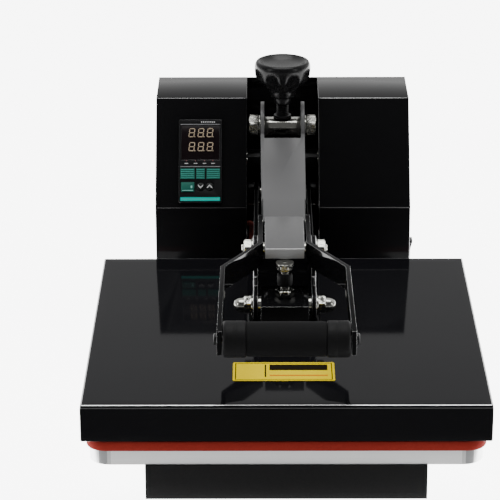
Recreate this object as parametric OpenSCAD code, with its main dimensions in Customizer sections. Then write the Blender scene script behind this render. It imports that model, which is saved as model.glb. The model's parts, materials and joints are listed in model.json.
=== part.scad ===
// Clamshell heat press: base, heated upper platen on a hinged arm, over-centre toggle,
// fork handle, pressure screw and temperature controller.
// Frame: X to the right, Y to the back, Z up; origin on the floor under the middle of the
// whole press. Distances called "back" are measured behind the middle of the platens.

/* [Base] */
// Middle of the platens, in front of the frame's origin
platen_y = -98.5; // [-99:0.5:-98]
// Width of the base box
base_w = 272.5; // [262:0.5:276]
// Height of the base box
base_h = 36; // [32:1:36]
// Front face of the base box
base_front = -192; // [-194:1:-185]
// Back face of the base box
base_back = 405; // [400:1:406]
// Height of the rubber feet
foot_h = 7; // [6:0.5:8]
// Steel sheet of the base box
base_sheet = 2; // [1.5:0.5:3]

/* [Platens] */
// Side of the lower platen
platen_w = 381; // [376:1:384]
// Thickness of the lower platen
platen_t = 15.5; // [14:0.5:15.5]
// Corner radius of the platens
platen_r = 20; // [12:1:24]
// Side of the silicone pad
pad_w = 387; // [382:1:388]
// Thickness of the silicone pad
pad_t = 10.2; // [8:0.1:10.2]
// Side of the heating platen
heater_w = 380; // [376:1:384]
// Thickness of the heating platen
heater_t = 14; // [12:0.5:15]
// Width of the upper cover
cover_w = 395; // [394:0.5:398]
// Depth of the upper cover
cover_d = 394; // [392:0.5:396]
// Lower edge of the upper cover
cover_low = 70.7; // [70:0.1:72]
// Top face of the upper cover
cover_top = 108.3; // [108:0.1:108.5]
// Sheet of the covers and the housing
sheet = 1.5; // [1:0.1:2]

/* [Housing] */
// Overall width of the housing
housing_w = 285.4; // [280:0.2:290]
// Half width of the recess in the middle of the housing
recess_x = 40.4; // [40:0.1:41]
// Lower front face
housing_front = 257.3; // [255:0.1:260]
// Height of the fold between the lower front face and the sloped panel
fold_z = 145.5; // [142:0.1:148]
// Upper edge of the sloped panel, back
top_front = 326.3; // [322:0.1:330]
// Height of the housing's top face
housing_top = 252.6; // [250:0.1:255]
// Back face of the rear cover
housing_back = 408.9; // [408:0.1:409]

/* [Mechanism] */
// Arm hinge, back
hinge_back = 350; // [350:0.1:350.5]
// Arm hinge, height
hinge_z = 130; // [130:0.1:130.5]
// Trunnion, back
trunnion_back = 328; // [328:0.1:328.5]
// Trunnion, height
trunnion_z = 218.7; // [218.5:0.1:219]
// Handle pivot, back
pivot_back = 47.5; // [47.5:0.1:48]
// Handle pivot, height
pivot_z = 176; // [176:0.1:176.2]
// Distance from the handle pivot to the toggle pin
toggle_r = 53.6; // [52:0.1:54]
// Platen bolts of the arm, back
bracket_back = 5; // [4:0.1:6]
// Platen bolts of the arm, height
bracket_z = 130; // [129.8:0.1:130]
// Thickness of the arm bars and the handle bars
bar_t = 5; // [4.5:0.1:5]
// Inner face of the arm bars
arm_x = 27.4; // [27.4:0.1:28]
// Height of the arm bars
arm_h = 28; // [26:1:28]
// Inner face of the handle bars beside the link
handle_x = 22.5; // [22.5:0.1:22.6]
// Thickness of the handle bars
handle_t = 4.5; // [4:0.1:4.5]

/* [Handle] */
// Grip axis, back
grip_back = -197; // [-198:1:-190]
// Grip axis, height
grip_z = 177; // [174:1:178]
// Radius of the grip's end sleeves
sleeve_r = 17.5; // [17:0.1:17.5]
// Radius of the foam grip
foam_r = 16.8; // [15:0.1:17]
// Half length of the whole grip
grip_half = 60; // [58:0.5:60]
// Half length of the foam
foam_half = 38; // [34:0.5:40]
// Outer bend of the fork, half width
fork_x = 62.6; // [62:0.1:63]
// Front end of the fork, half width
fork_front_x = 63.4; // [63:0.1:64]

/* [Pressure knob] */
// Radius of the knob's rim
knob_r = 31.5; // [29:0.5:33]
// Top of the knob
knob_top = 296; // [294:1:299]
// Radius of the pressure screw
screw_r = 7; // [6.5:0.1:7]

/* [Hidden] */

// Round surfaces
$fn = 64;
// Sides of a hexagon
hex = 6;
// Gap between a bolt and its clearance hole
slack = 0.1;
// Radial clearance of a running fit
run = 0.05;
// Overshoot of a cut past the solid it opens
over = 1;
// Colours
black = "#16161a";
steel = "#c9ccd0";

base_top = foot_h + base_h;
platen_top = base_top + platen_t;
pad_top = platen_top + pad_t;
heater_low = pad_top + 0.3;
heater_top = heater_low + heater_t;
half_w = housing_w / 2;
arm_out = arm_x + bar_t;

// Y of a place that lies "back" behind the middle of the platens
function at(back) = platen_y + back;
function unit(v) = v / norm(v);
// Left-hand normal of the edge from p to q
function left_of(p, q) = let (d = unit(q - p)) [-d[1], d[0]];
// Corner b moved inwards by t, between the edges a-b and b-c
function mitre(a, b, c, t) =
    let (n = left_of(a, b), m = left_of(b, c)) b + t * (n + m) / (1 + n * m);
// An open line moved sideways by t
function beside(path, t) = [for (i = [0 : len(path) - 1])
    i == 0 ? path[0] + t * left_of(path[0], path[1])
    : i == len(path) - 1 ? path[i] + t * left_of(path[i - 1], path[i])
    : mitre(path[i - 1], path[i], path[i + 1], t)];
// Outline of a strip of width w along an open line
function strip(path, w) = let (a = beside(path, w / 2), b = beside(path, -w / 2), n = len(b))
    concat(a, [for (i = [0 : n - 1]) b[n - 1 - i]]);

// Toggle pin, on the line from the handle pivot to the trunnion
pivot = [pivot_back, pivot_z];
trunnion = [trunnion_back, trunnion_z];
toggle_pin = pivot + toggle_r * unit(trunnion - pivot);

// Top plane of the link: height at a place behind the platens' middle
link_z0 = 187.5;
link_back0 = 15;
link_slope = 30.1 / 273;
function link_plane(back) = link_z0 + link_slope * (back - link_back0);
link_web = 3;
link_seam = 90.5;
link_bevel = 5.2;
ear_r = 28;
boss_r = 9.5;

// Sloped panel of the housing
panel_run = top_front - housing_front;
panel_rise = housing_top - fold_z;
panel_tilt = atan2(panel_rise, panel_run);

// Temperature controller
meter_x = -92.5;
meter_s = 53.2;
meter_w = 48;
meter_h = 96;
bezel_t = 3.5;
key_lift = 4.7;
set_key_at = [-14, -30.1];
set_key_size = [14.8, 11];
down_key_at = [0.4, -29.6];
up_key_at = [10.6, -29.6];
round_key_r = 4.3;
key_gap = 0.3;
window_at = [0, 21.3];
window_size = [43, 40];
window_t = 1.2;
digit_w = 8;
digit_h = 11;
digit_pitch = 10.2;
row_gap = 16.3;
stroke = 1.3;

// Rocker switch on the right side of the housing
rocker_back = 300;
rocker_z = 82;
rocker_tilt = 8;

// Plate standing across X: an outline in (back, height), extruded from x0 to x1
module across(x0, x1) {
    translate([x0, 0, 0]) rotate([90, 0, 90]) linear_extrude(x1 - x0) children();
}
// Cylinder along X from x0 to x1
module rod_x(back, z, r, x0, x1, sides = $fn) {
    translate([x0, at(back), z]) rotate([0, 90, 0]) cylinder(h = x1 - x0, r = r, $fn = sides);
}
// Cylinder along Z from z0 to z1
module rod_z(x, back, r, z0, z1, sides = $fn) {
    translate([x, at(back), z0]) cylinder(h = z1 - z0, r = r, $fn = sides);
}
// Box from its low corner to its high corner, with Y counted from the platens' middle
module block(low, high) {
    translate([low[0], at(low[1]), low[2]]) cube(high - low);
}
module both_sides() {
    children();
    mirror([1, 0, 0]) children();
}
module rounded_square(w, d, r) {
    square([w - 2 * r, d], center = true);
    square([w, d - 2 * r], center = true);
    for (sx = [-1, 1], sy = [-1, 1])
        translate([sx * (w / 2 - r), sy * (d / 2 - r)]) circle(r);
}
module plate(w, d, r, z0, z1) {
    translate([0, platen_y, z0]) linear_extrude(z1 - z0) rounded_square(w, d, r);
}
// Local frame on the sloped panel: X right, Y up the slope, Z out of the panel
module on_panel(s) {
    translate([meter_x, at(housing_front), fold_z]) rotate([panel_tilt, 0, 0])
        translate([0, s, 0]) children();
}

// ---- Base ----
platen_bolt_x = 90;
platen_bolt_back = [-110, 110];
module at_platen_bolts() {
    for (x = [-platen_bolt_x, platen_bolt_x], b = platen_bolt_back)
        translate([x, at(b), 0]) children();
}
frame_bolt_x = 64;
frame_bolt_back = [325, 380];
module at_frame_bolts() {
    for (x = [-frame_bolt_x, frame_bolt_x], b = frame_bolt_back)
        translate([x, at(b), 0]) children();
}
foot_x = 95;
foot_back = [-130, 360];
module at_feet() {
    for (x = [-foot_x, foot_x], b = foot_back) translate([x, at(b), 0]) children();
}
foot_stem_r = 5;
bolt_r = 4;

module base_box() {
    color(black) difference() {
        block([-base_w / 2, base_front, foot_h], [base_w / 2, base_back, base_top]);
        block([base_sheet - base_w / 2, base_front + base_sheet, foot_h - over],
            [base_w / 2 - base_sheet, base_back - base_sheet, base_top - base_sheet]);
        at_platen_bolts() cylinder(h = base_top + over, r = bolt_r + slack);
        at_frame_bolts() cylinder(h = base_top + over, r = bolt_r + slack);
    }
}
tray_gap = 0.3;
tray_h = 12;
module base_bottom_plate() {
    x = base_w / 2 - base_sheet - tray_gap;
    front = base_front + base_sheet + tray_gap;
    back = base_back - base_sheet - tray_gap;
    color("#2a2a2d") difference() {
        block([-x, front, foot_h], [x, back, foot_h + tray_h]);
        block([sheet - x, front + sheet, foot_h + sheet], [x - sheet, back - sheet, base_top]);
        at_feet() cylinder(h = base_top, r = foot_stem_r + slack);
    }
}
foot_r = 15;
module rubber_feet() {
    color("#101012") at_feet() {
        cylinder(h = foot_h, r1 = foot_r - 2, r2 = foot_r);
        cylinder(h = foot_h + sheet + 4, r = foot_stem_r);
        translate([0, 0, foot_h + sheet + 0.2]) cylinder(h = 3.8, r1 = foot_stem_r + 1.5, r2 = foot_stem_r);
    }
}
module lower_platen() {
    color("#c4c6c8") difference() {
        plate(platen_w, platen_w, platen_r, base_top, platen_top);
        at_platen_bolts() translate([0, 0, base_top - over])
            cylinder(h = platen_t - 2 + over, r = bolt_r + slack);
    }
}
bolt_head_r = 7;
bolt_head_h = 6;
module platen_bolts() {
    color(steel) at_platen_bolts() {
        translate([0, 0, base_top - base_sheet - bolt_head_h])
            cylinder(h = bolt_head_h, r = bolt_head_r, $fn = hex);
        translate([0, 0, base_top - base_sheet - over])
            cylinder(h = base_sheet + platen_t - 2, r = bolt_r);
    }
}
module silicone_pad() {
    color("#8f2f1e") plate(pad_w, pad_w, platen_r, platen_top, pad_top);
}

// ---- Housing ----
shell_back = housing_back - sheet;
housing_outline = [[housing_front, base_top], [shell_back, base_top],
    [shell_back, housing_top], [top_front, housing_top], [housing_front, fold_z]];
// The same outline one sheet inside, open at the bottom and at the back
function housing_inside() = let (p = housing_outline,
    fold = mitre(p[3], p[4], p[0], sheet), edge = mitre(p[2], p[3], p[4], sheet))
    [[fold[0], base_top - over], [shell_back + over, base_top - over],
     [shell_back + over, edge[1]], edge, fold];
module in_press(outline) {
    polygon([for (p = outline) [at(p[0]), p[1]]]);
}
block_bolt_z = 179.5;
block_bolt_back = [322, 340];
module housing_shell() {
    difference() {
        across(-half_w, -recess_x) in_press(housing_outline);
        across(sheet - half_w, -recess_x - sheet) in_press(housing_inside());
        rod_x(hinge_back, hinge_z, 9, -recess_x - 2 * sheet, -recess_x + over);
        for (b = block_bolt_back)
            rod_x(b, block_bolt_z, bolt_r + 1, -recess_x - 2 * sheet, -recess_x + over);
    }
}
lead_r = 3;
module housing_left() {
    color(black) difference() {
        housing_shell();
        on_panel(meter_s) translate([0, 0, -5]) linear_extrude(10)
            square([meter_w - 2, meter_h - 4], center = true);
        rod_x(lead_exit[1], lead_exit[2], lead_r + 0.5, -recess_x - 2 * sheet, -recess_x + over);
    }
}
rocker_hole = [18, 27];
module housing_right() {
    color(black) difference() {
        mirror([1, 0, 0]) housing_shell();
        block([half_w - 2 * sheet, rocker_back - rocker_hole[0] / 2, rocker_z - rocker_hole[1] / 2],
            [half_w + over, rocker_back + rocker_hole[0] / 2, rocker_z + rocker_hole[1] / 2]);
    }
}
vent_count = 9;
vent_pitch = 9;
vent_w = 3;
vent_l = 60;
inlet_x = -92;
inlet_z = 84;
inlet_w = 27.5;
inlet_h = 20;
screw_spots = [for (x = [-134, -48, 48, 134], z = [62, 240]) [x, z]];
module rear_cover() {
    color(black) difference() {
        block([-half_w, shell_back, base_top], [half_w, housing_back, housing_top]);
        for (x = [-92, 92], i = [0 : vent_count - 1])
            block([x - vent_l / 2, shell_back - over, 135 + i * vent_pitch],
                [x + vent_l / 2, housing_back + over, 135 + vent_w + i * vent_pitch]);
        block([inlet_x - inlet_w / 2 - slack, shell_back - over, inlet_z - inlet_h / 2 - slack],
            [inlet_x + inlet_w / 2 + slack, housing_back + over, inlet_z + inlet_h / 2 + slack]);
        for (p = screw_spots) translate([p[0], at(shell_back - over), p[1]])
            rotate([-90, 0, 0]) cylinder(h = sheet + 2 * over, r = 2 + slack);
    }
}
screw_head_h = 2.6;
module housing_screws() {
    color(steel) for (p = screw_spots) translate([p[0], at(housing_back), p[1]])
        rotate([-90, 0, 0]) difference() {
            union() {
                cylinder(h = screw_head_h, r1 = 4, r2 = 2.8);
                translate([0, 0, -7]) cylinder(h = 7.5, r = 2);
            }
            for (a = [0, 90]) rotate([0, 0, a]) translate([-2, -0.4, screw_head_h - 1.2]) cube([4, 0.8, 2]);
        }
}

// ---- Frame inside the housing ----
upright_x = 43;
upright_t = 6;
upright_outline = [[300, base_top], [395, base_top], [395, 240], [335, 240], [300, 178]];
module upright() {
    difference() {
        union() {
            across(upright_x, upright_x + upright_t) in_press(upright_outline);
            block([upright_x, 306, base_top], [upright_x + 32, 392, base_top + upright_t]);
        }
        rod_x(hinge_back, hinge_z, shaft_r + run, upright_x - over, upright_x + upright_t + over);
        for (b = block_bolt_back)
            rod_x(b, block_bolt_z, bolt_r + slack, upright_x - over, upright_x + upright_t + over);
        at_frame_bolts() cylinder(h = base_top + 2 * upright_t, r = bolt_r + slack);
    }
}
module upright_left() {
    color("#202024") mirror([1, 0, 0]) upright();
}
module upright_right() {
    color("#202024") upright();
}
module frame_bolts() {
    color(steel) {
        at_frame_bolts() {
            translate([0, 0, base_top + upright_t]) cylinder(h = 5.5, r = bolt_head_r, $fn = hex);
            translate([0, 0, base_top - 14]) cylinder(h = 14 + upright_t + 1, r = bolt_r);
            translate([0, 0, base_top - base_sheet - 6]) cylinder(h = 6, r = bolt_head_r, $fn = hex);
        }
        both_sides() for (b = block_bolt_back) {
            rod_x(b, block_bolt_z, bolt_head_r, upright_x + upright_t, upright_x + upright_t + 5.5, hex);
            rod_x(b, block_bolt_z, bolt_r, 26, upright_x + upright_t + 1);
        }
    }
}
block_low = [317, 173.5];
block_high = [345, 185.5];
module pressure_block() {
    x = recess_x - 0.3;
    color("#2c2c30") difference() {
        block([-x, block_low[0], block_low[1]], [x, block_high[0], block_high[1]]);
        rod_z(0, trunnion_back, screw_r + run, block_low[1] - over, block_high[1] + over);
        both_sides() for (b = block_bolt_back) rod_x(b, block_bolt_z, bolt_r + slack, 25, recess_x + over);
    }
}
shaft_r = 8;
hinge_nut_r = 13;
module hinge_shaft() {
    color(steel) rod_x(hinge_back, hinge_z, shaft_r, -60, 60);
}
module hinge_nuts() {
    x = upright_x + upright_t;
    color(steel) both_sides() difference() {
        rod_x(hinge_back, hinge_z, hinge_nut_r, x, x + nut_t, hex);
        rod_x(hinge_back, hinge_z, shaft_r + run, x - over, x + nut_t + over);
    }
}

// ---- Controller ----
module controller_case() {
    color("#1c1c20") on_panel(meter_s) translate([0, 0, -62]) linear_extrude(56.5)
        rounded_square(meter_w - 3, meter_h - 5, 2);
}
module round_hole(p, r) {
    translate([p[0], p[1], -10]) cylinder(h = 20, r = r);
}
module centred_cut(p, size, z0, z1) {
    translate([p[0] - size[0] / 2, p[1] - size[1] / 2, z0]) cube([size[0], size[1], z1 - z0]);
}
module controller_bezel() {
    color("#141417") on_panel(meter_s) difference() {
        union() {
            linear_extrude(bezel_t) rounded_square(meter_w, meter_h, 1.5);
            translate([0, 0, -4]) linear_extrude(4) difference() {
                rounded_square(meter_w - 2.4, meter_h - 4.4, 1);
                rounded_square(meter_w - 5.4, meter_h - 7.4, 1);
            }
        }
        centred_cut(window_at, window_size, bezel_t - 1.5, bezel_t + over);
        centred_cut(set_key_at, set_key_size + [2 * key_gap, 2 * key_gap], -10, 10);
        round_hole(down_key_at, round_key_r + key_gap);
        round_hole(up_key_at, round_key_r + key_gap);
    }
}
module controller_window() {
    color("#1d1416") on_panel(meter_s)
        centred_cut(window_at, window_size - [0.2, 0.2], bezel_t - 1.5, bezel_t - 1.5 + window_t);
}
// One bar of a digit, pointed at both ends, lying along X
module segment(l) {
    h = stroke / 2;
    polygon([[-l / 2, 0], [h - l / 2, h], [l / 2 - h, h], [l / 2, 0], [l / 2 - h, -h], [h - l / 2, -h]]);
}
module digit() {
    reach = digit_h / 2 - stroke / 2;
    side = digit_w / 2 - stroke;
    for (y = [-1, 0, 1]) translate([-0.5, y * reach]) segment(2 * side - 0.6);
    for (x = [-1, 1], y = [-1, 1]) translate([x * side - 0.5, y * reach / 2]) rotate(90) segment(reach - 0.6);
    translate([digit_w / 2, -reach]) circle(stroke / 2, $fn = 16);
}
module display_segments() {
    color("#cfae86") on_panel(meter_s)
        translate([window_at[0] + 1, window_at[1] + 3.5, bezel_t - 1.5 + window_t])
            linear_extrude(0.15) for (i = [-1, 0, 1], j = [-1, 1])
                translate([i * digit_pitch, j * row_gap / 2]) digit();
}
module set_key() {
    color("#3f9c86") on_panel(meter_s)
        centred_cut(set_key_at, set_key_size, -3.5, key_lift);
}
module round_key(p) {
    color("#2b3a3c") on_panel(meter_s) translate([p[0], p[1], -3.5])
        cylinder(h = 3.5 + key_lift, r = round_key_r);
}
module down_key() {
    round_key(down_key_at);
}
module up_key() {
    round_key(up_key_at);
}

// ---- Electrics ----
rocker_pin_x = half_w + 0.5;
module rocker_frame() {
    w = rocker_hole[0];
    h = rocker_hole[1];
    color("#0e0e10") difference() {
        union() {
            block([half_w, rocker_back - w / 2 - 2, rocker_z - h / 2 - 2],
                [half_w + 2, rocker_back + w / 2 + 2, rocker_z + h / 2 + 2]);
            block([half_w - 18, rocker_back - w / 2 + 0.1, rocker_z - h / 2 + 0.1],
                [half_w + 1, rocker_back + w / 2 - 0.1, rocker_z + h / 2 - 0.1]);
        }
        block([half_w - 9, rocker_back - w / 2 + 1.5, rocker_z - h / 2 + 1.5],
            [half_w + 3, rocker_back + w / 2 - 1.5, rocker_z + h / 2 - 1.5]);
    }
}
rocker_pin_r = 1.2;
module power_rocker() {
    w = rocker_hole[0] / 2 - 2;
    color("#26262a") translate([rocker_pin_x, at(rocker_back), rocker_z]) rotate([90, rocker_tilt, 0]) {
        linear_extrude(2 * w, center = true)
            polygon([[-5.5, -3], [0, -10.4], [3.6, -10.6], [2.4, 0], [3.6, 10.6], [0, 10.4], [-5.5, 3]]);
        cylinder(h = 2 * w + 0.8, r = rocker_pin_r, center = true);
    }
}
inlet_flange = 2.5;
module power_inlet() {
    w = inlet_w / 2;
    h = inlet_h / 2;
    color("#0e0e10") {
        difference() {
            union() {
                block([inlet_x - w - 4, housing_back, inlet_z - h - 4],
                    [inlet_x + w + 4, housing_back + inlet_flange, inlet_z + h + 4]);
                block([inlet_x - w, housing_back - 30, inlet_z - h],
                    [inlet_x + w, housing_back + 1, inlet_z + h]);
            }
            block([inlet_x - w + 1.5, housing_back - 20, inlet_z - h + 1.5],
                [inlet_x + w - 1.5, housing_back + 4, inlet_z + h - 1.5]);
        }
        for (p = [[-7, -1.5], [7, -1.5], [0, 2.5]])
            block([inlet_x + p[0] - 1, housing_back - 22, inlet_z + p[1] - 2.5],
                [inlet_x + p[0] + 1, housing_back - 8, inlet_z + p[1] + 2.5]);
    }
}
relay_x = [85, 130];
relay_back = [330, 388];
relay_foot_t = 4;
relay_h = 24;
module solid_state_relay() {
    color("#d8d8d4") {
        difference() {
            block([relay_x[0], relay_back[0], base_top + relay_foot_t],
                [relay_x[1], relay_back[1], base_top + relay_h]);
            for (b = [relay_back[0] + 4, relay_back[1] - 4])
                rod_z((relay_x[0] + relay_x[1]) / 2, b, 2.2, base_top, base_top + relay_h + over);
        }
        block([relay_x[0] - 3, relay_back[0] - 4, base_top],
            [relay_x[1] + 3, relay_back[1] + 4, base_top + relay_foot_t]);
    }
}

// ---- Heater lead, from the recess wall to the back of the upper cover ----
lead_x = -36;
lead_exit = [-recess_x, 376, 84];
lead_end = [lead_x, cover_d / 2, 88];
lead_route = [lead_exit, [-38.5, 375.5, 84], [-36.5, 373, 84.5], [lead_x, 368, 85], [lead_x, 355, 86],
    [lead_x, 340, 86], [lead_x, 325, 84], [lead_x, 310, 82], [lead_x, 295, 80], [lead_x, 280, 79],
    [lead_x, 265, 78.5], [lead_x, 250, 79], [lead_x, 235, 81], [lead_x, 220, 85], [lead_x, 208, 88],
    lead_end];
lead_sides = 10;
function along(i, p) = unit(p[min(i + 1, len(p) - 1)] - p[max(i - 1, 0)]);
function ring(i, p, r) = let (t = along(i, p), u = unit(cross(t, [0, 0.05, 1])), v = cross(t, u))
    [for (k = [0 : lead_sides - 1]) let (a = 360 * k / lead_sides) p[i] + r * (u * cos(a) + v * sin(a))];
module swept_tube(p, r) {
    n = len(p);
    m = lead_sides;
    points = [for (i = [0 : n - 1]) each ring(i, p, r)];
    walls = [for (i = [0 : n - 2], k = [0 : m - 1]) let (a = i * m + k, b = i * m + (k + 1) % m)
        each [[a, b, b + m], [a, b + m, a + m]]];
    caps = [[for (k = [0 : m - 1]) m - 1 - k], [for (k = [0 : m - 1]) (n - 1) * m + k]];
    polyhedron(points = points, faces = concat(walls, caps), convexity = 4);
}
module heater_lead() {
    color("#5a1f1c") translate([0, platen_y, 0]) swept_tube(lead_route, lead_r);
}

// ---- Arm ----
lug_r = 14;
module arm_outline() {
    h = arm_h / 2;
    translate([at(bracket_back), bracket_z]) circle(h);
    translate([at(hinge_back), hinge_z]) circle(h);
    translate([at(pivot_back), pivot_z]) circle(lug_r);
    in_press([[bracket_back, bracket_z - h], [hinge_back, hinge_z - h], [hinge_back, hinge_z + h],
        [pivot_back + 62, hinge_z + h], [pivot_back + lug_r, pivot_z - 6], [pivot_back + lug_r, pivot_z],
        [pivot_back - lug_r, pivot_z], [pivot_back - lug_r, bracket_z + h + 6],
        [pivot_back - lug_r - 10, bracket_z + h], [bracket_back, bracket_z + h]]);
}
bush_r = 10.5;
cross_tube_back = 236;
cross_tube_r = 10;
bolt_m10 = 5;
module arm_bar() {
    difference() {
        across(arm_x, arm_out) arm_outline();
        rod_x(hinge_back, hinge_z, bush_r, arm_x - over, arm_out + over);
        rod_x(bracket_back, bracket_z, bolt_m10 + slack, arm_x - over, arm_out + over);
        rod_x(pivot_back, pivot_z, bolt_m10 + slack, arm_x - over, arm_out + over);
    }
}
module arm_bar_left() {
    color(black) mirror([1, 0, 0]) arm_bar();
}
module arm_bar_right() {
    color(black) arm_bar();
}
module arm_cross_tube() {
    color(black) difference() {
        rod_x(cross_tube_back, hinge_z, cross_tube_r, -arm_x, arm_x);
        rod_x(cross_tube_back, hinge_z, cross_tube_r - 2.5, -arm_x - over, arm_x + over);
    }
}
module hinge_bushes() {
    color("#b08d4a") both_sides() difference() {
        union() {
            rod_x(hinge_back, hinge_z, bush_r, arm_x - 1.5, arm_out + 1);
            rod_x(hinge_back, hinge_z, 13, arm_out, recess_x - 0.4);
        }
        rod_x(hinge_back, hinge_z, shaft_r + run, arm_x - 3, recess_x + over);
    }
}

// ---- Bracket that joins the arm to the upper platen ----
bracket_x = 24.3;
bracket_t = 4;
bracket_front = -23;
bracket_rear = 35;
bracket_top = 139.2;
flange_x = 37;
flange_t = 3.5;
cover_screw_x = 30;
cover_screw_back = [-14, 26];
cover_screw_r = 2.5;
module at_cover_screws() {
    for (x = [-cover_screw_x, cover_screw_x], b = cover_screw_back) translate([x, at(b), 0]) children();
}
module platen_bracket() {
    inner = bracket_x - bracket_t - 1;
    color(black) difference() {
        union() {
            block([-bracket_x, bracket_front, cover_top], [bracket_x, bracket_rear, bracket_top]);
            block([-flange_x, bracket_front, cover_top], [flange_x, bracket_rear, cover_top + flange_t]);
        }
        block([-inner, bracket_front + bracket_t, cover_top - over],
            [inner, bracket_rear + over, bracket_top - bracket_t]);
        rod_x(bracket_back, bracket_z, bolt_m10 + slack, -30, 30);
        rod_z(0, stop_back, bolt_m10 + slack, bracket_top - 2 * bracket_t, bracket_top + over);
        at_cover_screws() cylinder(h = 2 * cover_top, r = cover_screw_r + slack);
    }
}
nut_r = 9.8;
nut_t = 8;
module washer_x(back, z, x0, x1, r) {
    difference() {
        rod_x(back, z, r, x0, x1);
        rod_x(back, z, bolt_m10 + slack, x0 - over, x1 + over);
    }
}
// T-head bolts, their heads held from turning by the top of the bracket
t_head_reach = 9;
module bracket_bolts() {
    color(steel) both_sides() {
        block([13, bracket_back - t_head_reach, bracket_z - bolt_m10],
            [bracket_x - bracket_t - 1, bracket_back + t_head_reach, bracket_z + bolt_m10]);
        rod_x(bracket_back, bracket_z, bolt_m10, 18, 46);
        washer_x(bracket_back, bracket_z, bracket_x, arm_x, 9);
        washer_x(bracket_back, bracket_z, arm_out, arm_out + 1.6, 10.5);
    }
}
acorn_x = arm_out + 1.6;
module acorn_nuts() {
    color(steel) both_sides() difference() {
        union() {
            rod_x(bracket_back, bracket_z, nut_r, acorn_x, acorn_x + nut_t, hex);
            rod_x(bracket_back, bracket_z, nut_r - 2.2, acorn_x + nut_t, acorn_x + nut_t + 3);
            translate([acorn_x + nut_t + 3, at(bracket_back), bracket_z]) intersection() {
                sphere(r = nut_r - 2.2);
                translate([0, -20, -20]) cube(40);
            }
        }
        rod_x(bracket_back, bracket_z, bolt_m10 + slack, acorn_x - over, 47);
    }
}

// ---- Adjustable stop under the guard ----
stop_back = 7;
stop_head_z = 176.5;
stop_cap_z = stop_head_z - 2.6;
stop_low = 120;
module stop_bolt() {
    color(steel) {
        rod_z(0, stop_back, bumper_r + 1.5, stop_cap_z, stop_head_z);
        rod_z(0, stop_back, bumper_r, stop_cap_z - 5.9, stop_cap_z, hex);
        rod_z(0, stop_back, bolt_m10, stop_low, stop_cap_z - 5.4);
    }
}
module nut_z(z0, z1, r, sides) {
    difference() {
        rod_z(0, stop_back, r, z0, z1, sides);
        rod_z(0, stop_back, bolt_m10 + slack, z0 - over, z1 + over);
    }
}
module stop_nuts() {
    color(steel) {
        nut_z(bracket_top - bracket_t - 6.5, bracket_top - bracket_t, nut_r - 1, hex);
        nut_z(bracket_top, bracket_top + nut_t, nut_r, hex);
    }
}
bumper_z = [151, 164.5];
bumper_r = 8;
module stop_bumper() {
    color("#0c0c0e") nut_z(bumper_z[0], bumper_z[1], bumper_r, 32);
}

// ---- Guard over the handle pivot ----
guard_x = 20.3;
guard_ear_t = 4;
guard_lip = 176.7;
guard_gap = 0.5;
module toggle_guard() {
    f = link_back0;
    r = link_seam - guard_gap;
    color("#3a3a3e") difference() {
        union() {
            across(-guard_x, guard_x) in_press([[f, guard_lip], [f + link_web, guard_lip],
                [f + link_web, link_plane(f + link_web) - link_web],
                [r - link_bevel, link_plane(r) - link_web - link_slope * link_bevel],
                [r, link_plane(r)], [f, link_z0]]);
            both_sides() across(guard_x - guard_ear_t, guard_x) {
                translate([at(pivot_back), pivot_z]) circle(10);
                in_press([[pivot_back - 10, pivot_z], [pivot_back + 10, pivot_z],
                    [pivot_back + 10, link_plane(pivot_back + 10) - 1],
                    [pivot_back - 10, link_plane(pivot_back - 10) - 1]]);
            }
        }
        rod_x(pivot_back, pivot_z, bolt_m10 + slack, -30, 30);
    }
}
module pivot_bolts() {
    color(steel) both_sides() {
        rod_x(pivot_back, pivot_z, 8.5, 9.8, guard_x - guard_ear_t, hex);
        rod_x(pivot_back, pivot_z, bolt_m10, guard_x - guard_ear_t - 1, arm_out + 12);
        washer_x(pivot_back, pivot_z, guard_x, handle_x - 0.3, 8);
    }
}
module pivot_nuts() {
    color(steel) both_sides() {
        washer_x(pivot_back, pivot_z, arm_out, arm_out + 1.6, 10.5);
        difference() {
            rod_x(pivot_back, pivot_z, nut_r, arm_out + 1.6, arm_out + 1.6 + nut_t, hex);
            rod_x(pivot_back, pivot_z, bolt_m10 + slack, arm_out, arm_out + 12);
        }
    }
}

// ---- Upper platen ----
module upper_cover() {
    color("#0c0c0f") difference() {
        block([-cover_w / 2, -cover_d / 2, cover_low], [cover_w / 2, cover_d / 2, cover_top]);
        block([sheet - cover_w / 2, sheet - cover_d / 2, cover_low - over],
            [cover_w / 2 - sheet, cover_d / 2 - sheet, cover_top - sheet]);
        at_cover_screws() cylinder(h = cover_top + over, r = cover_screw_r + slack);
    }
}
heater_seat = 77;
module heating_platen() {
    color("#b9bbbd") difference() {
        plate(heater_w, heater_w, platen_r - 5, heater_low, heater_top);
        at_cover_screws() translate([0, 0, heater_seat]) cylinder(h = heater_t, r = cover_screw_r + slack);
    }
}
element_r = 4;
element_x = [-140, -70, 0, 70, 140];
element_reach = 130;
module heating_element() {
    z = heater_top + element_r;
    bend = (element_x[1] - element_x[0]) / 2;
    color("#8a7f76") {
        for (x = element_x) translate([x, at(-element_reach), z]) rotate([-90, 0, 0])
            cylinder(h = 2 * element_reach, r = element_r);
        for (i = [0 : len(element_x) - 2]) let (s = i % 2 == 0 ? 1 : -1)
            translate([element_x[i] + bend, at(s * element_reach), z])
                rotate([0, 0, s > 0 ? 0 : 180]) rotate_extrude(angle = 180) translate([bend, 0])
                    circle(element_r);
    }
}
insulation_low = heater_top + 2 * element_r + 0.4;
module insulation_board() {
    color("#cfc8b8") difference() {
        plate(heater_w - 4, heater_w - 4, platen_r - 5, insulation_low, cover_top - sheet - 1);
        at_cover_screws() cylinder(h = cover_top, r = cover_screw_r + 0.5);
    }
}
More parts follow.
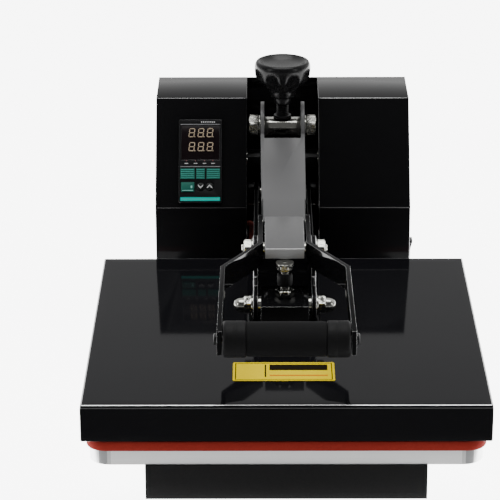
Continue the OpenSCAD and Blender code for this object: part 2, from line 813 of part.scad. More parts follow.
module cover_screws() {
    color(steel) at_cover_screws() {
        translate([0, 0, heater_seat + 0.5]) cylinder(h = cover_top + flange_t - heater_seat, r = cover_screw_r);
        translate([0, 0, cover_top + flange_t]) difference() {
            cylinder(h = 2.8, r1 = 4.6, r2 = 3.4);
            translate([0, 0, 1.2]) cylinder(h = 3, r = 1.8, $fn = hex);
        }
    }
}
label_mid = [-2, -116.5];
label_size = [100, 45];
module label_plate() {
    color("#e8d21c") translate([label_mid[0], at(label_mid[1]), cover_top]) linear_extrude(0.5)
        rounded_square(label_size[0], label_size[1], 2);
}

// ---- Trunnion, link, knob ----
trunnion_r = 11;
trunnion_bolt_r = 6;
trunnion_washer_x = 25.1;
trunnion_nut_x = 26.8;
trunnion_nut_r = 13.4;
trunnion_end_x = 38.2;
module trunnion_bar() {
    color(steel) difference() {
        rod_x(trunnion_back, trunnion_z, trunnion_r, -20, 20);
        rod_z(0, trunnion_back, screw_r + run, trunnion_z - 20, trunnion_z + 20);
        both_sides() rod_x(trunnion_back, trunnion_z, trunnion_bolt_r, 10, 22);
    }
}
module trunnion_bolts() {
    color(steel) both_sides() {
        rod_x(trunnion_back, trunnion_z, trunnion_bolt_r, 10, 30);
        rod_x(trunnion_back, trunnion_z, trunnion_nut_r - 0.9, trunnion_washer_x, trunnion_nut_x);
        rod_x(trunnion_back, trunnion_z, trunnion_nut_r, trunnion_nut_x, trunnion_end_x, hex);
    }
}
link_rear_x = 24.65;
link_front_x = 23.4;
tongue_x = 21.9;
tongue_back = 132;
link_side = 4;
function link_plan(t) = let (s = link_rear_x - t, f = link_front_x - t, g = tongue_x - t)
    [[-s, 370], [-s, 290], [-f, tongue_back], [-g, tongue_back], [-g, 70],
     [g, 70], [g, tongue_back], [f, tongue_back], [s, 290], [s, 370]];
module link_plan_block(t) {
    translate([0, platen_y, 150]) linear_extrude(120) polygon(link_plan(t));
}
link_low = [[322.2, 191.3], [100.5, toggle_pin[1] - boss_r]];
link_open = 288;
module toggle_link() {
    s = link_seam;
    color("#6f6f73") difference() {
        intersection() {
            across(-30, 30) {
                translate([at(trunnion_back), trunnion_z]) circle(ear_r);
                translate([at(toggle_pin[0]), toggle_pin[1]]) circle(boss_r);
                in_press([link_low[0], [trunnion_back, trunnion_z], [link_open + 12, link_plane(link_open + 12)],
                    [s, link_plane(s)],
                    [s - link_bevel, link_plane(s) - link_web - link_slope * link_bevel],
                    [toggle_pin[0] - 4, link_plane(s) - link_web - 1],
                    toggle_pin, link_low[1]]);
            }
            link_plan_block(0);
        }
        intersection() {
            across(-30, 30) in_press([[80, 150], [400, 150], [400, 260], [link_open, 260],
                [link_open, link_plane(link_open) - link_web], [80, link_plane(80) - link_web]]);
            link_plan_block(link_side);
        }
        rod_x(trunnion_back, trunnion_z, trunnion_bolt_r + run, -30, 30);
        rod_x(toggle_pin[0], toggle_pin[1], bolt_m10 + 0.2, -30, 30);
    }
}
knob_h = 42;
hub_low = knob_top - knob_h;
screw_top = hub_low + 22;
lobes = 8;
module pressure_knob() {
    r = knob_r;
    color("#111114") translate([0, at(trunnion_back), hub_low]) difference() {
        rotate_extrude($fn = 96) polygon([[0, 0], [13, 0], [15, 3], [15, 9], [22, 13], [r - 3, 19], [r, 26],
            [r, 35], [r - 1.5, 40], [r - 4, knob_h], [r - 7, knob_h - 1], [r - 12, knob_h - 5],
            [0, knob_h - 8]]);
        for (i = [0 : lobes - 1]) rotate([0, 0, (i + 0.5) * 360 / lobes])
            translate([r + 5.5, 0, 5]) cylinder(h = 27, r = 9);
        translate([0, 0, -over]) cylinder(h = screw_top - hub_low + 2 * over, r = screw_r + run);
    }
}
screw_low = 152;
module pressure_screw() {
    color("#3b3b40") rod_z(0, trunnion_back, screw_r, screw_low, screw_top);
}
module collar(z0, z1, r, sides) {
    difference() {
        rod_z(0, trunnion_back, r, z0, z1, sides);
        rod_z(0, trunnion_back, screw_r + run, z0 - over, z1 + over);
    }
}
module screw_collars() {
    color("#3b3b40") {
        collar(hub_low - 7.5, hub_low - 0.1, 9.5, 32);
        collar(trunnion_z + trunnion_r + 0.2, trunnion_z + trunnion_r + 3, 10, 32);
        collar(trunnion_z - trunnion_r - 3.4, trunnion_z - trunnion_r - 0.2, 10, 32);
    }
}

// ---- Handle ----
bar_low = 164;
bar_high = 188;
fork_bend = 31;
fork_path = [[handle_x + handle_t / 2, 115], [handle_x + handle_t / 2, fork_bend],
    [fork_x, -38], [fork_front_x, grip_back - 11]];
tube_r = 8;
module handle_bar() {
    difference() {
        intersection() {
            translate([0, platen_y, 150]) linear_extrude(60) polygon(strip(fork_path, handle_t));
            across(0, 80) {
                translate([at(toggle_pin[0]), toggle_pin[1]]) circle(boss_r);
                in_press([[grip_back - 11, bar_low + 1], [pivot_back, bar_low], [toggle_pin[0], toggle_pin[1] - boss_r],
                    [toggle_pin[0], toggle_pin[1] + boss_r - 1], [pivot_back, bar_high + 1],
                    [grip_back - 11, bar_high + 1]]);
            }
        }
        rod_x(pivot_back, pivot_z, bolt_m10 + run, 0, 40);
        rod_x(toggle_pin[0], toggle_pin[1], bolt_m10 + slack, 0, 40);
        rod_x(grip_back, grip_z, 3 + slack, 50, 80);
    }
}
module handle_bar_left() {
    color(black) mirror([1, 0, 0]) handle_bar();
}
module handle_bar_right() {
    color(black) handle_bar();
}
grip_bolt_x = fork_front_x + handle_t / 2 + 0.2;
module grip_tube() {
    color("#55555a") difference() {
        rod_x(grip_back, grip_z, tube_r, -grip_half, grip_half);
        rod_x(grip_back, grip_z, 3 + slack, -grip_half - over, grip_half + over);
    }
}
module foam_grip() {
    color("#1b1b1d") difference() {
        rod_x(grip_back, grip_z, foam_r, -foam_half, foam_half);
        rod_x(grip_back, grip_z, tube_r + run, -foam_half - over, foam_half + over);
    }
}
module grip_sleeves() {
    color("#141416") both_sides() difference() {
        rod_x(grip_back, grip_z, sleeve_r, foam_half + 0.2, grip_half);
        rod_x(grip_back, grip_z, tube_r + run, foam_half, grip_half + over);
    }
}
module grip_bolts() {
    color(steel) both_sides() {
        rod_x(grip_back, grip_z, 5.5, grip_bolt_x, grip_bolt_x + 3);
        rod_x(grip_back, grip_z, 3, 20, grip_bolt_x + 1);
    }
}
module toggle_pins() {
    color(steel) both_sides() rod_x(toggle_pin[0], toggle_pin[1], bolt_m10, handle_x - 0.2, handle_x + handle_t);
}

base_box();
base_bottom_plate();
rubber_feet();
lower_platen();
platen_bolts();
silicone_pad();
housing_left();
housing_right();
rear_cover();
housing_screws();
upright_left();
upright_right();
frame_bolts();
pressure_block();
hinge_shaft();
hinge_nuts();
controller_case();
controller_bezel();
controller_window();
display_segments();
set_key();
down_key();
up_key();
rocker_frame();
power_rocker();
power_inlet();
solid_state_relay();
heater_lead();
arm_bar_left();
arm_bar_right();
arm_cross_tube();
hinge_bushes();
platen_bracket();
bracket_bolts();
acorn_nuts();
stop_bolt();
stop_nuts();
stop_bumper();
toggle_guard();
upper_cover();
heating_platen();
heating_element();
insulation_board();
cover_screws();
label_plate();
pivot_bolts();
pivot_nuts();
trunnion_bar();
trunnion_bolts();
toggle_link();
pressure_knob();
pressure_screw();
screw_collars();
handle_bar_left();
handle_bar_right();
grip_tube();
foam_grip();
grip_sleeves();
grip_bolts();
toggle_pins();
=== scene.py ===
"""Clamshell heat press: finishes, rounded edges, fasteners, knob, grip, controller, lights and camera."""
import json
import math

import bmesh
import bpy
import numpy as np
from mathutils import Matrix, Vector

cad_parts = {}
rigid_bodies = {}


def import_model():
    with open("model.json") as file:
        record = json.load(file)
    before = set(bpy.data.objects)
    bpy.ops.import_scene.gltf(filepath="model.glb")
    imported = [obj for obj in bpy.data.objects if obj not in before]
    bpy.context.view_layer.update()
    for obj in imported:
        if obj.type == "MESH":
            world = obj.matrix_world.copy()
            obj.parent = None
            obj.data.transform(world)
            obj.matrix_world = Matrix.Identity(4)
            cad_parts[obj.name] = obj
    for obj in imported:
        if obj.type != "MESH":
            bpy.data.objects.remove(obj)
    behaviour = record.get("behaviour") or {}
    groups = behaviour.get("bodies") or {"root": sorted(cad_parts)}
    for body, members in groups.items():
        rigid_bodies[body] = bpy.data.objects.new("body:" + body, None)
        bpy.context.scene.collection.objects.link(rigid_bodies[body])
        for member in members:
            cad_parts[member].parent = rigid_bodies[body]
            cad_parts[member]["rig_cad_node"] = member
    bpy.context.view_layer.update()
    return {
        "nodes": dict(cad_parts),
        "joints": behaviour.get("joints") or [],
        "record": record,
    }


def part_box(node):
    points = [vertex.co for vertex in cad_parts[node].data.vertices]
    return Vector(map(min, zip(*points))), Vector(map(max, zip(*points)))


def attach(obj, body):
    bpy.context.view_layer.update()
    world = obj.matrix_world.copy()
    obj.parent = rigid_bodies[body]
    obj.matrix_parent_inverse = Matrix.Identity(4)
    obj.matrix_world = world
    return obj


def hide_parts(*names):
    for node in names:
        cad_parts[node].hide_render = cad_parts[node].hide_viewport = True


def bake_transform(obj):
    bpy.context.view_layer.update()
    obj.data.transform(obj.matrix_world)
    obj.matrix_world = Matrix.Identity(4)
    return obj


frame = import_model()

NODES = frame["nodes"]
BODY_OF = {n: b for b, ns in frame["record"]["behaviour"]["bodies"].items() for n in ns}
SLOT_OF = {s["node"]: s["material_slot"] for s in frame["record"]["subparts"]}
JOINTS = {j["name"]: j for j in frame["joints"]}
MM = 0.001
TAU = 2 * math.pi


def box(node):
    """Lowest and highest corner of a CAD node, as arrays."""
    low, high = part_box(node)
    return np.array(low), np.array(high)


# ------------------------------------------------------------------ camera

AIM = np.array([-0.0354, -0.0985, 0.1922])
DISTANCE = 2.49262
AZIMUTH, ELEVATION, ROLL = (math.radians(a) for a in (0.3443, 20.6865, -0.2148))
LENS = 176.945


def make_camera():
    """A long lens looking down on the front; its axes are built from azimuth, elevation and roll."""
    back = np.array([math.sin(AZIMUTH) * math.cos(ELEVATION),
                     -math.cos(AZIMUTH) * math.cos(ELEVATION), math.sin(ELEVATION)])
    right = np.cross(-back, [0, 0, 1])
    right /= np.linalg.norm(right)
    up = np.cross(right, -back)
    c, s = math.cos(ROLL), math.sin(ROLL)
    turned = np.column_stack([right * c + up * s, up * c - right * s, back])
    data = bpy.data.cameras.new("camera")
    data.lens = LENS
    data.clip_end = 50
    camera = bpy.data.objects.new("camera", data)
    bpy.context.scene.collection.objects.link(camera)
    place = Matrix(turned.tolist()).to_4x4()
    place.translation = (AIM + back * DISTANCE).tolist()
    camera.matrix_world = place
    bpy.context.scene.camera = camera


make_camera()


# ------------------------------------------------------------------ shader graphs

class Wire:
    """A socket of a material's graph; operators on values add Math nodes."""

    def __init__(self, tree, socket):
        self.tree = tree
        self.socket = socket

    def math(self, operation, *others):
        made = self.tree.nodes.new("ShaderNodeMath")
        made.operation = operation
        for i, value in enumerate((self,) + others):
            feed(self.tree, made.inputs[i], value)
        return Wire(self.tree, made.outputs[0])

    def __add__(self, other):
        return self.math("ADD", other)

    __radd__ = __add__

    def __mul__(self, other):
        return self.math("MULTIPLY", other)

    __rmul__ = __mul__

    def __sub__(self, other):
        return self.math("SUBTRACT", other)

    def __rsub__(self, other):
        return self * -1 + other

    def __pow__(self, other):
        return self.math("POWER", other)

    def between(self, low, high):
        """1 where the value lies between low and high, else 0."""
        return self.math("GREATER_THAN", low) * self.math("LESS_THAN", high)

    def clamped(self):
        return self.math("MAXIMUM", 0.0).math("MINIMUM", 1.0)


def feed(tree, socket, value):
    if isinstance(value, Wire):
        tree.links.new(value.socket, socket)
    else:
        socket.default_value = value


class Finish:
    """A material on the Principled shader, with its patterns on Object coordinates in metres."""

    def __init__(self, name, **fixed):
        self.material = bpy.data.materials.new(name)
        self.material.use_nodes = True
        self.tree = self.material.node_tree
        self.shader = self.tree.nodes["Principled BSDF"]
        self.place = self.node("ShaderNodeTexCoord")["Object"]
        self.set(**fixed)

    def node(self, kind, settings=None, **values):
        """Adds a node: settings first, then its inputs by name; returns its outputs by name."""
        made = self.tree.nodes.new(kind)
        for key, value in (settings or {}).items():
            if key == "stops":
                ramp = made.color_ramp
                for stop, (at, colour) in zip([ramp.elements[0], ramp.elements[-1]], (value[0], value[-1])):
                    stop.position, stop.color = at, colour
                for at, colour in value[1:-1]:
                    ramp.elements.new(at).color = colour
            else:
                setattr(made, key, value)
        for key, value in values.items():
            feed(self.tree, made.inputs[key.replace("_", " ")], value)
        return {o.name: Wire(self.tree, o) for o in made.outputs}

    def set(self, **values):
        for key, value in values.items():
            feed(self.tree, self.shader.inputs[key.replace("_", " ")], value)
        return self

    def noise(self, scale, detail=2.0, stretch=None):
        """Fractal noise, 0 to 1; stretch scales the axes apart for grain."""
        at = self.place
        if stretch:
            at = self.node("ShaderNodeMapping", Vector=at, Scale=stretch)["Vector"]
        return self.node("ShaderNodeTexNoise", Vector=at, Scale=scale, Detail=detail)["Fac"]

    def cells(self, scale):
        return self.node("ShaderNodeTexVoronoi", Vector=self.place, Scale=scale)["Distance"]

    def mix(self, share, first, second):
        made = self.tree.nodes.new("ShaderNodeMix")
        made.data_type = "RGBA"
        feed(self.tree, made.inputs[0], share)
        feed(self.tree, made.inputs[6], first)
        feed(self.tree, made.inputs[7], second)
        return Wire(self.tree, made.outputs[2])

    def axes(self):
        out = self.node("ShaderNodeSeparateXYZ", Vector=self.place)
        return out["X"], out["Y"], out["Z"]

    def bump(self, height, depth, strength=1.0):
        """Raises the surface by height, which is 0 to 1, times depth in metres."""
        return self.node("ShaderNodeBump", Height=height, Distance=depth, Strength=strength)["Normal"]


def rgb(r, g, b):
    return (r, g, b, 1.0)


def enamel(name, colour, rough, gloss, peel=0.00003, grain=260.0, dust=0.03):
    """Sprayed paint: a nearly even colour, faint orange peel and a little dust in the gloss."""
    f = Finish(name, Specular_IOR_Level=gloss)
    cloud = f.noise(9.0, 3.0)
    lighter = tuple(min(1.0, c * 1.35 + 0.001) for c in colour)
    f.set(Base_Color=f.mix(cloud, rgb(*colour), rgb(*lighter)))
    f.set(Roughness=rough + dust * f.noise(55.0, 4.0))
    return f.set(Normal=f.bump(f.noise(grain, 1.0), peel, 0.5))


def textured_coat(name, colour):
    """Matte powder coat: fine round grains that scatter the light."""
    f = Finish(name, Specular_IOR_Level=0.3)
    grain = f.noise(1500.0, 2.0)
    f.set(Base_Color=f.mix(grain, rgb(*colour), rgb(*(c * 1.7 for c in colour))))
    f.set(Roughness=0.55 + 0.2 * f.noise(600.0))
    return f.set(Normal=f.bump(grain * 0.6 + 0.4 * f.noise(700.0), 0.00015, 0.6))


def plated(name, colour, rough):
    """Zinc plate: bright metal, clouded, with fine turning marks."""
    f = Finish(name, Metallic=1.0)
    cloud = f.noise(140.0, 3.0)
    f.set(Base_Color=f.mix(cloud, rgb(*colour), rgb(*(c * 0.82 for c in colour))))
    f.set(Roughness=rough + 0.14 * cloud)
    return f.set(Normal=f.bump(f.noise(380.0, 3.0), 0.0004, 0.5))


def ground_aluminium(name):
    """Ground plate: long fine scratches along X over a soft metal body, with dark bands near its side edges as
    a painted reflection of dark surroundings in the rounded corners.
    """
    f = Finish(name, Metallic=1.0)
    scratch = f.noise(60.0, 6.0, stretch=(0.4, 22.0, 40.0))
    x, _, _ = f.axes()
    # painted reflection: dark bands near the side edges stand in for dark surroundings mirrored in the rounded
    # corners
    painted_corner_reflection = (x.math("ABSOLUTE").between(0.1725, 0.1805) * 0.75
            + x.math("ABSOLUTE").between(0.169, 0.1725) * 0.35)
    ground = f.mix(scratch, rgb(0.76, 0.765, 0.765), rgb(0.90, 0.905, 0.90))
    f.set(Base_Color=f.mix(painted_corner_reflection, ground, rgb(0.16, 0.165, 0.17)))
    f.set(Roughness=0.3 + 0.16 * scratch)
    return f.set(Normal=f.bump(scratch, 0.00006, 0.3))


def sponge_silicone(name):
    """Closed-cell silicone: brick red, speckled, with small open pores on the cut faces."""
    f = Finish(name, Specular_IOR_Level=0.12)
    pores = f.cells(700.0)
    speck = f.noise(420.0, 4.0)
    body = f.mix(speck, rgb(0.25, 0.017, 0.012), rgb(0.40, 0.042, 0.028))
    f.set(Base_Color=f.mix(f.noise(30.0), body, rgb(0.31, 0.025, 0.017)))
    f.set(Roughness=0.72 + 0.14 * speck)
    return f.set(Normal=f.bump(pores * 0.7 + 0.3 * speck, 0.0004, 0.6))


def rubber(name, colour, grain, depth, rough=0.8):
    """Moulded rubber or foam: a fine skin of cells that takes little light."""
    f = Finish(name, Specular_IOR_Level=0.12)
    cells = f.cells(grain)
    cloud = f.noise(40.0, 3.0)
    f.set(Base_Color=f.mix(cloud, rgb(*colour), rgb(*(c * 1.6 for c in colour))))
    f.set(Roughness=rough + 0.12 * cloud)
    return f.set(Normal=f.bump(cells, depth, 0.7))


def moulded(name, colour, rough, gloss=0.4, grain=1100.0, depth=0.00004):
    """Moulded plastic: even colour, fine spark-eroded texture."""
    f = Finish(name, Specular_IOR_Level=gloss)
    fine = f.noise(grain, 2.0)
    f.set(Base_Color=f.mix(f.noise(25.0, 2.0), rgb(*colour), rgb(*(min(1.0, c * 1.25) for c in colour))))
    f.set(Roughness=rough + 0.1 * fine)
    return f.set(Normal=f.bump(fine, depth, 0.5))


def braided(name):
    """Braided sleeve: two families of threads crossing on the tube's own UV map."""
    f = Finish(name, Specular_IOR_Level=0.3)
    uv = f.node("ShaderNodeUVMap", {"uv_map": "UVMap"})["UV"]
    part = f.node("ShaderNodeSeparateXYZ", Vector=uv)
    one = ((part["X"] * 4 + part["Y"] * 60) * TAU).math("SINE")
    two = ((part["X"] * 4 - part["Y"] * 60) * TAU).math("SINE")
    weave = (one * two) * 0.5 + 0.5
    f.set(Base_Color=f.mix(weave, rgb(0.09, 0.016, 0.012), rgb(0.26, 0.05, 0.035)))
    f.set(Roughness=0.7 + 0.15 * weave)
    return f.set(Normal=f.bump(weave, 0.0004, 0.8))


def printed_label(name, node):
    """Yellow vinyl with a plain black frame line and one plain black bar, and no lettering."""
    low, high = box(node)
    mid = (low + high) / 2
    half = (high - low) / 2
    f = Finish(name, Specular_IOR_Level=0.0)
    x, y, _ = f.axes()
    u = (x - float(mid[0])) * float(1 / half[0])
    v = (y - float(mid[1])) * float(1 / half[1])
    outer = u.math("ABSOLUTE").math("LESS_THAN", 0.955) * v.math("ABSOLUTE").math("LESS_THAN", 0.90)
    inner = u.math("ABSOLUTE").math("LESS_THAN", 0.935) * v.math("ABSOLUTE").math("LESS_THAN", 0.855)
    bar = u.between(-0.28, 0.86) * v.between(0.12, 0.74)
    line = u.between(-0.28, 0.86) * v.between(-0.5, -0.38)
    divider = u.between(-0.375, -0.345) * v.between(-0.62, 0.74)
    ink = (outer - inner + bar + divider).clamped()
    worn = f.noise(300.0, 4.0)
    yellow = f.mix(worn, rgb(0.66, 0.49, 0.0), rgb(0.74, 0.56, 0.0))
    plate = f.mix(line, yellow, rgb(0.55, 0.16, 0.008))
    f.set(Base_Color=f.mix(ink, plate, rgb(0.012, 0.010, 0.006)))
    f.set(Roughness=0.34 + 0.14 * worn)
    return f.set(Normal=f.bump(worn, 0.00002, 0.4))


def insulation(name):
    f = Finish(name)
    fibre = f.noise(90.0, 6.0, stretch=(1.0, 9.0, 1.0))
    f.set(Base_Color=f.mix(fibre, rgb(0.52, 0.47, 0.38), rgb(0.78, 0.74, 0.66)), Roughness=0.9 + 0.08 * fibre)
    return f.set(Normal=f.bump(fibre, 0.0006, 0.7))


FINISHES = {
    "powder_coat": enamel("black_enamel", (0.0030, 0.0030, 0.0033), 0.05, 0.032),
    "base_coat": textured_coat("textured_black", (0.0016, 0.0016, 0.0018)),
    "gloss_cover": enamel("gloss_black", (0.0034, 0.0034, 0.0042), 0.045, 0.043, peel=0.00001, dust=0.015),
    "frame_steel": enamel("satin_black", (0.0035, 0.0035, 0.004), 0.3, 0.2, grain=500.0),
    "link_coat": enamel("grey_satin", (0.074, 0.074, 0.075), 0.32, 0.22,
                        peel=0.000008, grain=380.0, dust=0.02),
    "zinc": plated("zinc_plate", (0.40, 0.40, 0.37), 0.05),
    "platen_aluminium": ground_aluminium("ground_aluminium"),
    "silicone": sponge_silicone("red_silicone"),
    "rubber": rubber("black_rubber", (0.0034, 0.0034, 0.0036), 900.0, 0.0001, 0.5),
    "knob_plastic": moulded("plain_phenolic", (0.008, 0.008, 0.0085), 0.27, 0.3, grain=700.0, depth=0.00001),
    "meter_plastic": moulded("meter_black", (0.004, 0.004, 0.0045), 0.4, 0.08),
    "window": moulded("display_window", (0.005, 0.0032, 0.0038), 0.12, 0.06, depth=0.000005),
    "segments": moulded("unlit_segments", (0.34, 0.27, 0.19), 0.45, 0.1),
    "key_green": moulded("green_key", (0.008, 0.075, 0.056), 0.4, 0.12),
    "key_dark": moulded("dark_key", (0.006, 0.007, 0.007), 0.35, 0.15),
    "switch_plastic": moulded("switch_black", (0.005, 0.005, 0.0055), 0.22, 0.2),
    "relay_plastic": moulded("relay_white", (0.7, 0.68, 0.63), 0.5),
    "lead_sleeve": braided("braided_sleeve"),
    "element": plated("heat_tinted_tube", (0.34, 0.27, 0.22), 0.35),
    "insulation": insulation("glass_board"),
    "label_yellow": printed_label("printed_vinyl", "label_plate"),
    "foam": rubber("foam_grip", (0.0046, 0.0046, 0.0048), 1300.0, 0.0002),
}


def guard_coat():
    """The guard's grey coat, with a painted highlight making its bent-down front flange lighter."""
    f = Finish("guard_grey", Specular_IOR_Level=0.22, Roughness=0.34)
    _, y, _ = f.axes()
    low, _ = box("toggle_guard")
    painted_highlight_front = y.math("LESS_THAN", float(low[1]) + 1.2 * MM)
    tone = f.mix(f.noise(120.0, 3.0), rgb(0.09, 0.09, 0.091), rgb(0.105, 0.105, 0.106))
    # painted highlight: the bent-down front flange is coloured light grey for the light it catches
    f.set(Base_Color=f.mix(painted_highlight_front, tone, rgb(0.30, 0.30, 0.30)))
    return f.set(Normal=f.bump(f.noise(380.0), 0.000008, 0.5))


def knob_coat():
    """Black phenolic, dark on its skirt, with a painted reflection colouring the dished top lighter grey."""
    f = Finish("black_phenolic", Specular_IOR_Level=0.16)
    low, high = box("pressure_knob")
    mid = (low + high) / 2
    rim = float(high[0] - low[0]) / 2
    x, y, z = f.axes()
    reach = ((x - float(mid[0])) ** 2 + (y - float(mid[1])) ** 2) ** 0.5 * (1 / rim)
    inside = (1 - (reach - 0.6) * 4.0).clamped()
    painted_dish_reflection = inside * z.math("GREATER_THAN", float(high[2]) - 11 * MM)
    fine = f.noise(700.0)
    # painted reflection: the dished top is coloured lighter grey where the bright surroundings would mirror in
    # it
    f.set(Base_Color=f.mix(painted_dish_reflection, f.mix(fine, rgb(0.0035, 0.0035, 0.0037), rgb(0.0045, 0.0045, 0.0048)),
                           rgb(0.06, 0.06, 0.06)))
    f.set(Roughness=0.2 + 0.12 * fine)
    return f.set(Normal=f.bump(fine, 0.00001, 0.3))


GUARD = guard_coat()
KNOB = knob_coat()
TEAL = moulded("teal_print", (0.002, 0.36, 0.30), 0.45, 0.05)
RIB = moulded("rib_green", (0.03, 0.20, 0.16), 0.4, 0.12)


def painted_edge_highlight(name, level):
    """A painted highlight for rounded edges: a light grey metallic coat standing in for the light that bent or
    cut edges catch.
    """
    f = Finish(name, Metallic=0.85, Roughness=0.24)
    worn = f.noise(200.0, 3.0)
    f.set(Base_Color=f.mix(worn, rgb(level, level, level), rgb(level * 0.9, level * 0.9, level * 0.91)))
    return f.set(Normal=f.bump(worn, 0.000004, 0.2))


# Levels of the painted edge highlight, from faint to bright
DIM, SOFT, CLEAR, STRONG = 0.10, 0.22, 0.42, 0.75
PAINTED_EDGE_HIGHLIGHTS = {level: painted_edge_highlight("edge_" + name, level) for name, level in
         (("dim", DIM), ("soft", SOFT), ("clear", CLEAR), ("strong", STRONG))}
PRINT = moulded("pale_print", (0.14, 0.14, 0.145), 0.5, 0.1)
BRIGHT = moulded("white_print", (0.36, 0.36, 0.36), 0.5, 0.1)

for cad_name, cad_object in NODES.items():
    cad_object.data.materials.clear()
    cad_object.data.materials.append(FINISHES[SLOT_OF[cad_name]].material)


# ------------------------------------------------------------------ meshes

def loft(rings, closed=False):
    """A skin over rings of equal length, shape (k, m, 3). The end rings get flat caps unless the rings close
    on themselves. Vertex (i, j) is point j of ring i; a face joins i to i+1 and j to j+1."""
    rings = np.asarray(rings, float)
    k, m = rings.shape[:2]
    steps = k if closed else k - 1
    i = np.arange(steps)[:, None]
    j = np.arange(m)[None, :]
    a = i * m + j
    b = i * m + (j + 1) % m
    c = ((i + 1) % k) * m + (j + 1) % m
    d = ((i + 1) % k) * m + j
    faces = np.stack([a, b, c, d], -1).reshape(-1, 4).tolist()
    if not closed:
        faces.append(list(range(m))[::-1])
        faces.append([(k - 1) * m + n for n in range(m)])
    return rings.reshape(-1, 3), faces


def joined(parts):
    """Several (points, faces) pairs as one."""
    points, faces, count = [], [], 0
    for p, f in parts:
        points.append(p)
        faces += [[n + count for n in face] for face in f]
        count += len(p)
    return np.concatenate(points), faces


def smooth_by_angle(mesh, angle):
    mesh.polygons.foreach_set("use_smooth", np.ones(len(mesh.polygons), bool))
    mesh.set_sharp_from_angle(angle=math.radians(angle))


def piece(name, parts, body, finish, slot, nodes=(), angle=38, uv=None):
    """A finished object from (points, faces) pairs: faces outward, riding on its body, for its CAD nodes."""
    points, faces = joined(parts)
    mesh = bpy.data.meshes.new(name)
    mesh.from_pydata(points.tolist(), [], faces)
    if uv is not None:
        layer = mesh.uv_layers.new(name="UVMap")
        loops = np.empty(len(mesh.loops), np.int32)
        mesh.loops.foreach_get("vertex_index", loops)
        layer.data.foreach_set("uv", uv[loops].astype(np.float32).ravel())
    shape = bmesh.new()
    shape.from_mesh(mesh)
    bmesh.ops.recalc_face_normals(shape, faces=shape.faces)
    shape.to_mesh(mesh)
    shape.free()
    smooth_by_angle(mesh, angle)
    made = bpy.data.objects.new(name, mesh)
    bpy.context.scene.collection.objects.link(made)
    mesh.materials.append(finish.material)
    if body:
        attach(made, body)
    if nodes:
        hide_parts(*nodes)
    return made


def stand_in(node, name, parts, **more):
    """A new piece that takes the body of the CAD node it stands for and the finish of that node's slot."""
    slot = SLOT_OF[node]
    return piece(name, parts, BODY_OF[node], FINISHES[slot], slot, (node,), **more)


def softened(node, name, width, edge=None, coat=None, segments=2, angle=30):
    """A merged copy of a CAD node, its sharp edges rounded to the given width, with a painted highlight
    material on the rounded edges if asked.
    """
    mesh = NODES[node].data.copy()
    shape = bmesh.new()
    shape.from_mesh(mesh)
    bmesh.ops.remove_doubles(shape, verts=shape.verts, dist=0.002 * MM)
    bmesh.ops.dissolve_limit(shape, angle_limit=math.radians(0.4), verts=shape.verts, edges=shape.edges)
    shape.to_mesh(mesh)
    shape.free()
    if "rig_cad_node" in mesh:
        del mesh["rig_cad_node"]
    mesh.materials.clear()
    slot = SLOT_OF[node]
    mesh.materials.append((coat or FINISHES[slot]).material)
    made = bpy.data.objects.new(name, mesh)
    bpy.context.scene.collection.objects.link(made)
    bevel = made.modifiers.new("edge", "BEVEL")
    bevel.width = width
    bevel.segments = segments
    bevel.limit_method = "ANGLE"
    bevel.angle_limit = math.radians(angle)
    bevel.use_clamp_overlap = True
    # painted highlight: the rounded edges take a light metallic material
    if edge:
        mesh.materials.append(PAINTED_EDGE_HIGHLIGHTS[edge].material)
        bevel.material = 1
    graph = bpy.context.evaluated_depsgraph_get()
    done = bpy.data.meshes.new_from_object(made.evaluated_get(graph))
    made.modifiers.clear()
    made.data = done
    smooth_by_angle(done, 50)
    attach(made, BODY_OF[node])
    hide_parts(node)
    return made


AXES = {"x": ((0, 0, -1), (0, 1, 0), (1, 0, 0)), "-x": ((0, 0, 1), (0, 1, 0), (-1, 0, 0)),
        "z": ((1, 0, 0), (0, 1, 0), (0, 0, 1)), "y": ((1, 0, 0), (0, 0, -1), (0, 1, 0))}


def placed(flat, centre, axis):
    """Local points (a, b, along) set at centre with their third axis along the named direction."""
    flat = np.asarray(flat, float)
    return np.asarray(centre, float) + flat @ np.array(AXES[axis], float)


def turned(profile, centre, axis, sides=64, closed=False):
    """A body of revolution: profile is a list of (radius, along)."""
    t = np.arange(sides) / sides * TAU
    rings = [np.stack([r * np.cos(t), r * np.sin(t), np.full(sides, h)], -1) for r, h in profile]
    return loft(placed(np.array(rings), centre, axis), closed)


def arc(centre, radius, start, stop, steps=5):
    """Points (x, y) of a round corner, from start to stop in degrees."""
    t = np.radians(np.linspace(start, stop, steps))
    return [(centre[0] + radius * math.cos(a), centre[1] + radius * math.sin(a)) for a in t]


def round_rect(w, d, r, steps=8):
    """Outline of a rectangle with round corners, anticlockwise, as an array (m, 2)."""
    corners = [((w / 2 - r, d / 2 - r), 0), ((r - w / 2, d / 2 - r), 90),
               ((r - w / 2, r - d / 2), 180), ((w / 2 - r, r - d / 2), 270)]
    return np.array([p for c, a in corners for p in arc(c, r, a, a + 90, steps)])


def slab(w, d, r, section, mid):
    """A plate with round corners: section lists (inset, height), each a ring of the outline moved inwards."""
    rings = []
    for inset, z in section:
        flat = round_rect(w - 2 * inset, d - 2 * inset, max(r - inset, 0.2 * MM))
        rings.append(np.column_stack([flat + mid, np.full(len(flat), z)]))
    return loft(rings)


def hex_radius(across, t):
    """Distance from the middle of a hexagon to its side, with a corner at angle 0."""
    turn = np.mod(t, TAU / 6) - TAU / 12
    return across / 2 / np.cos(turn)


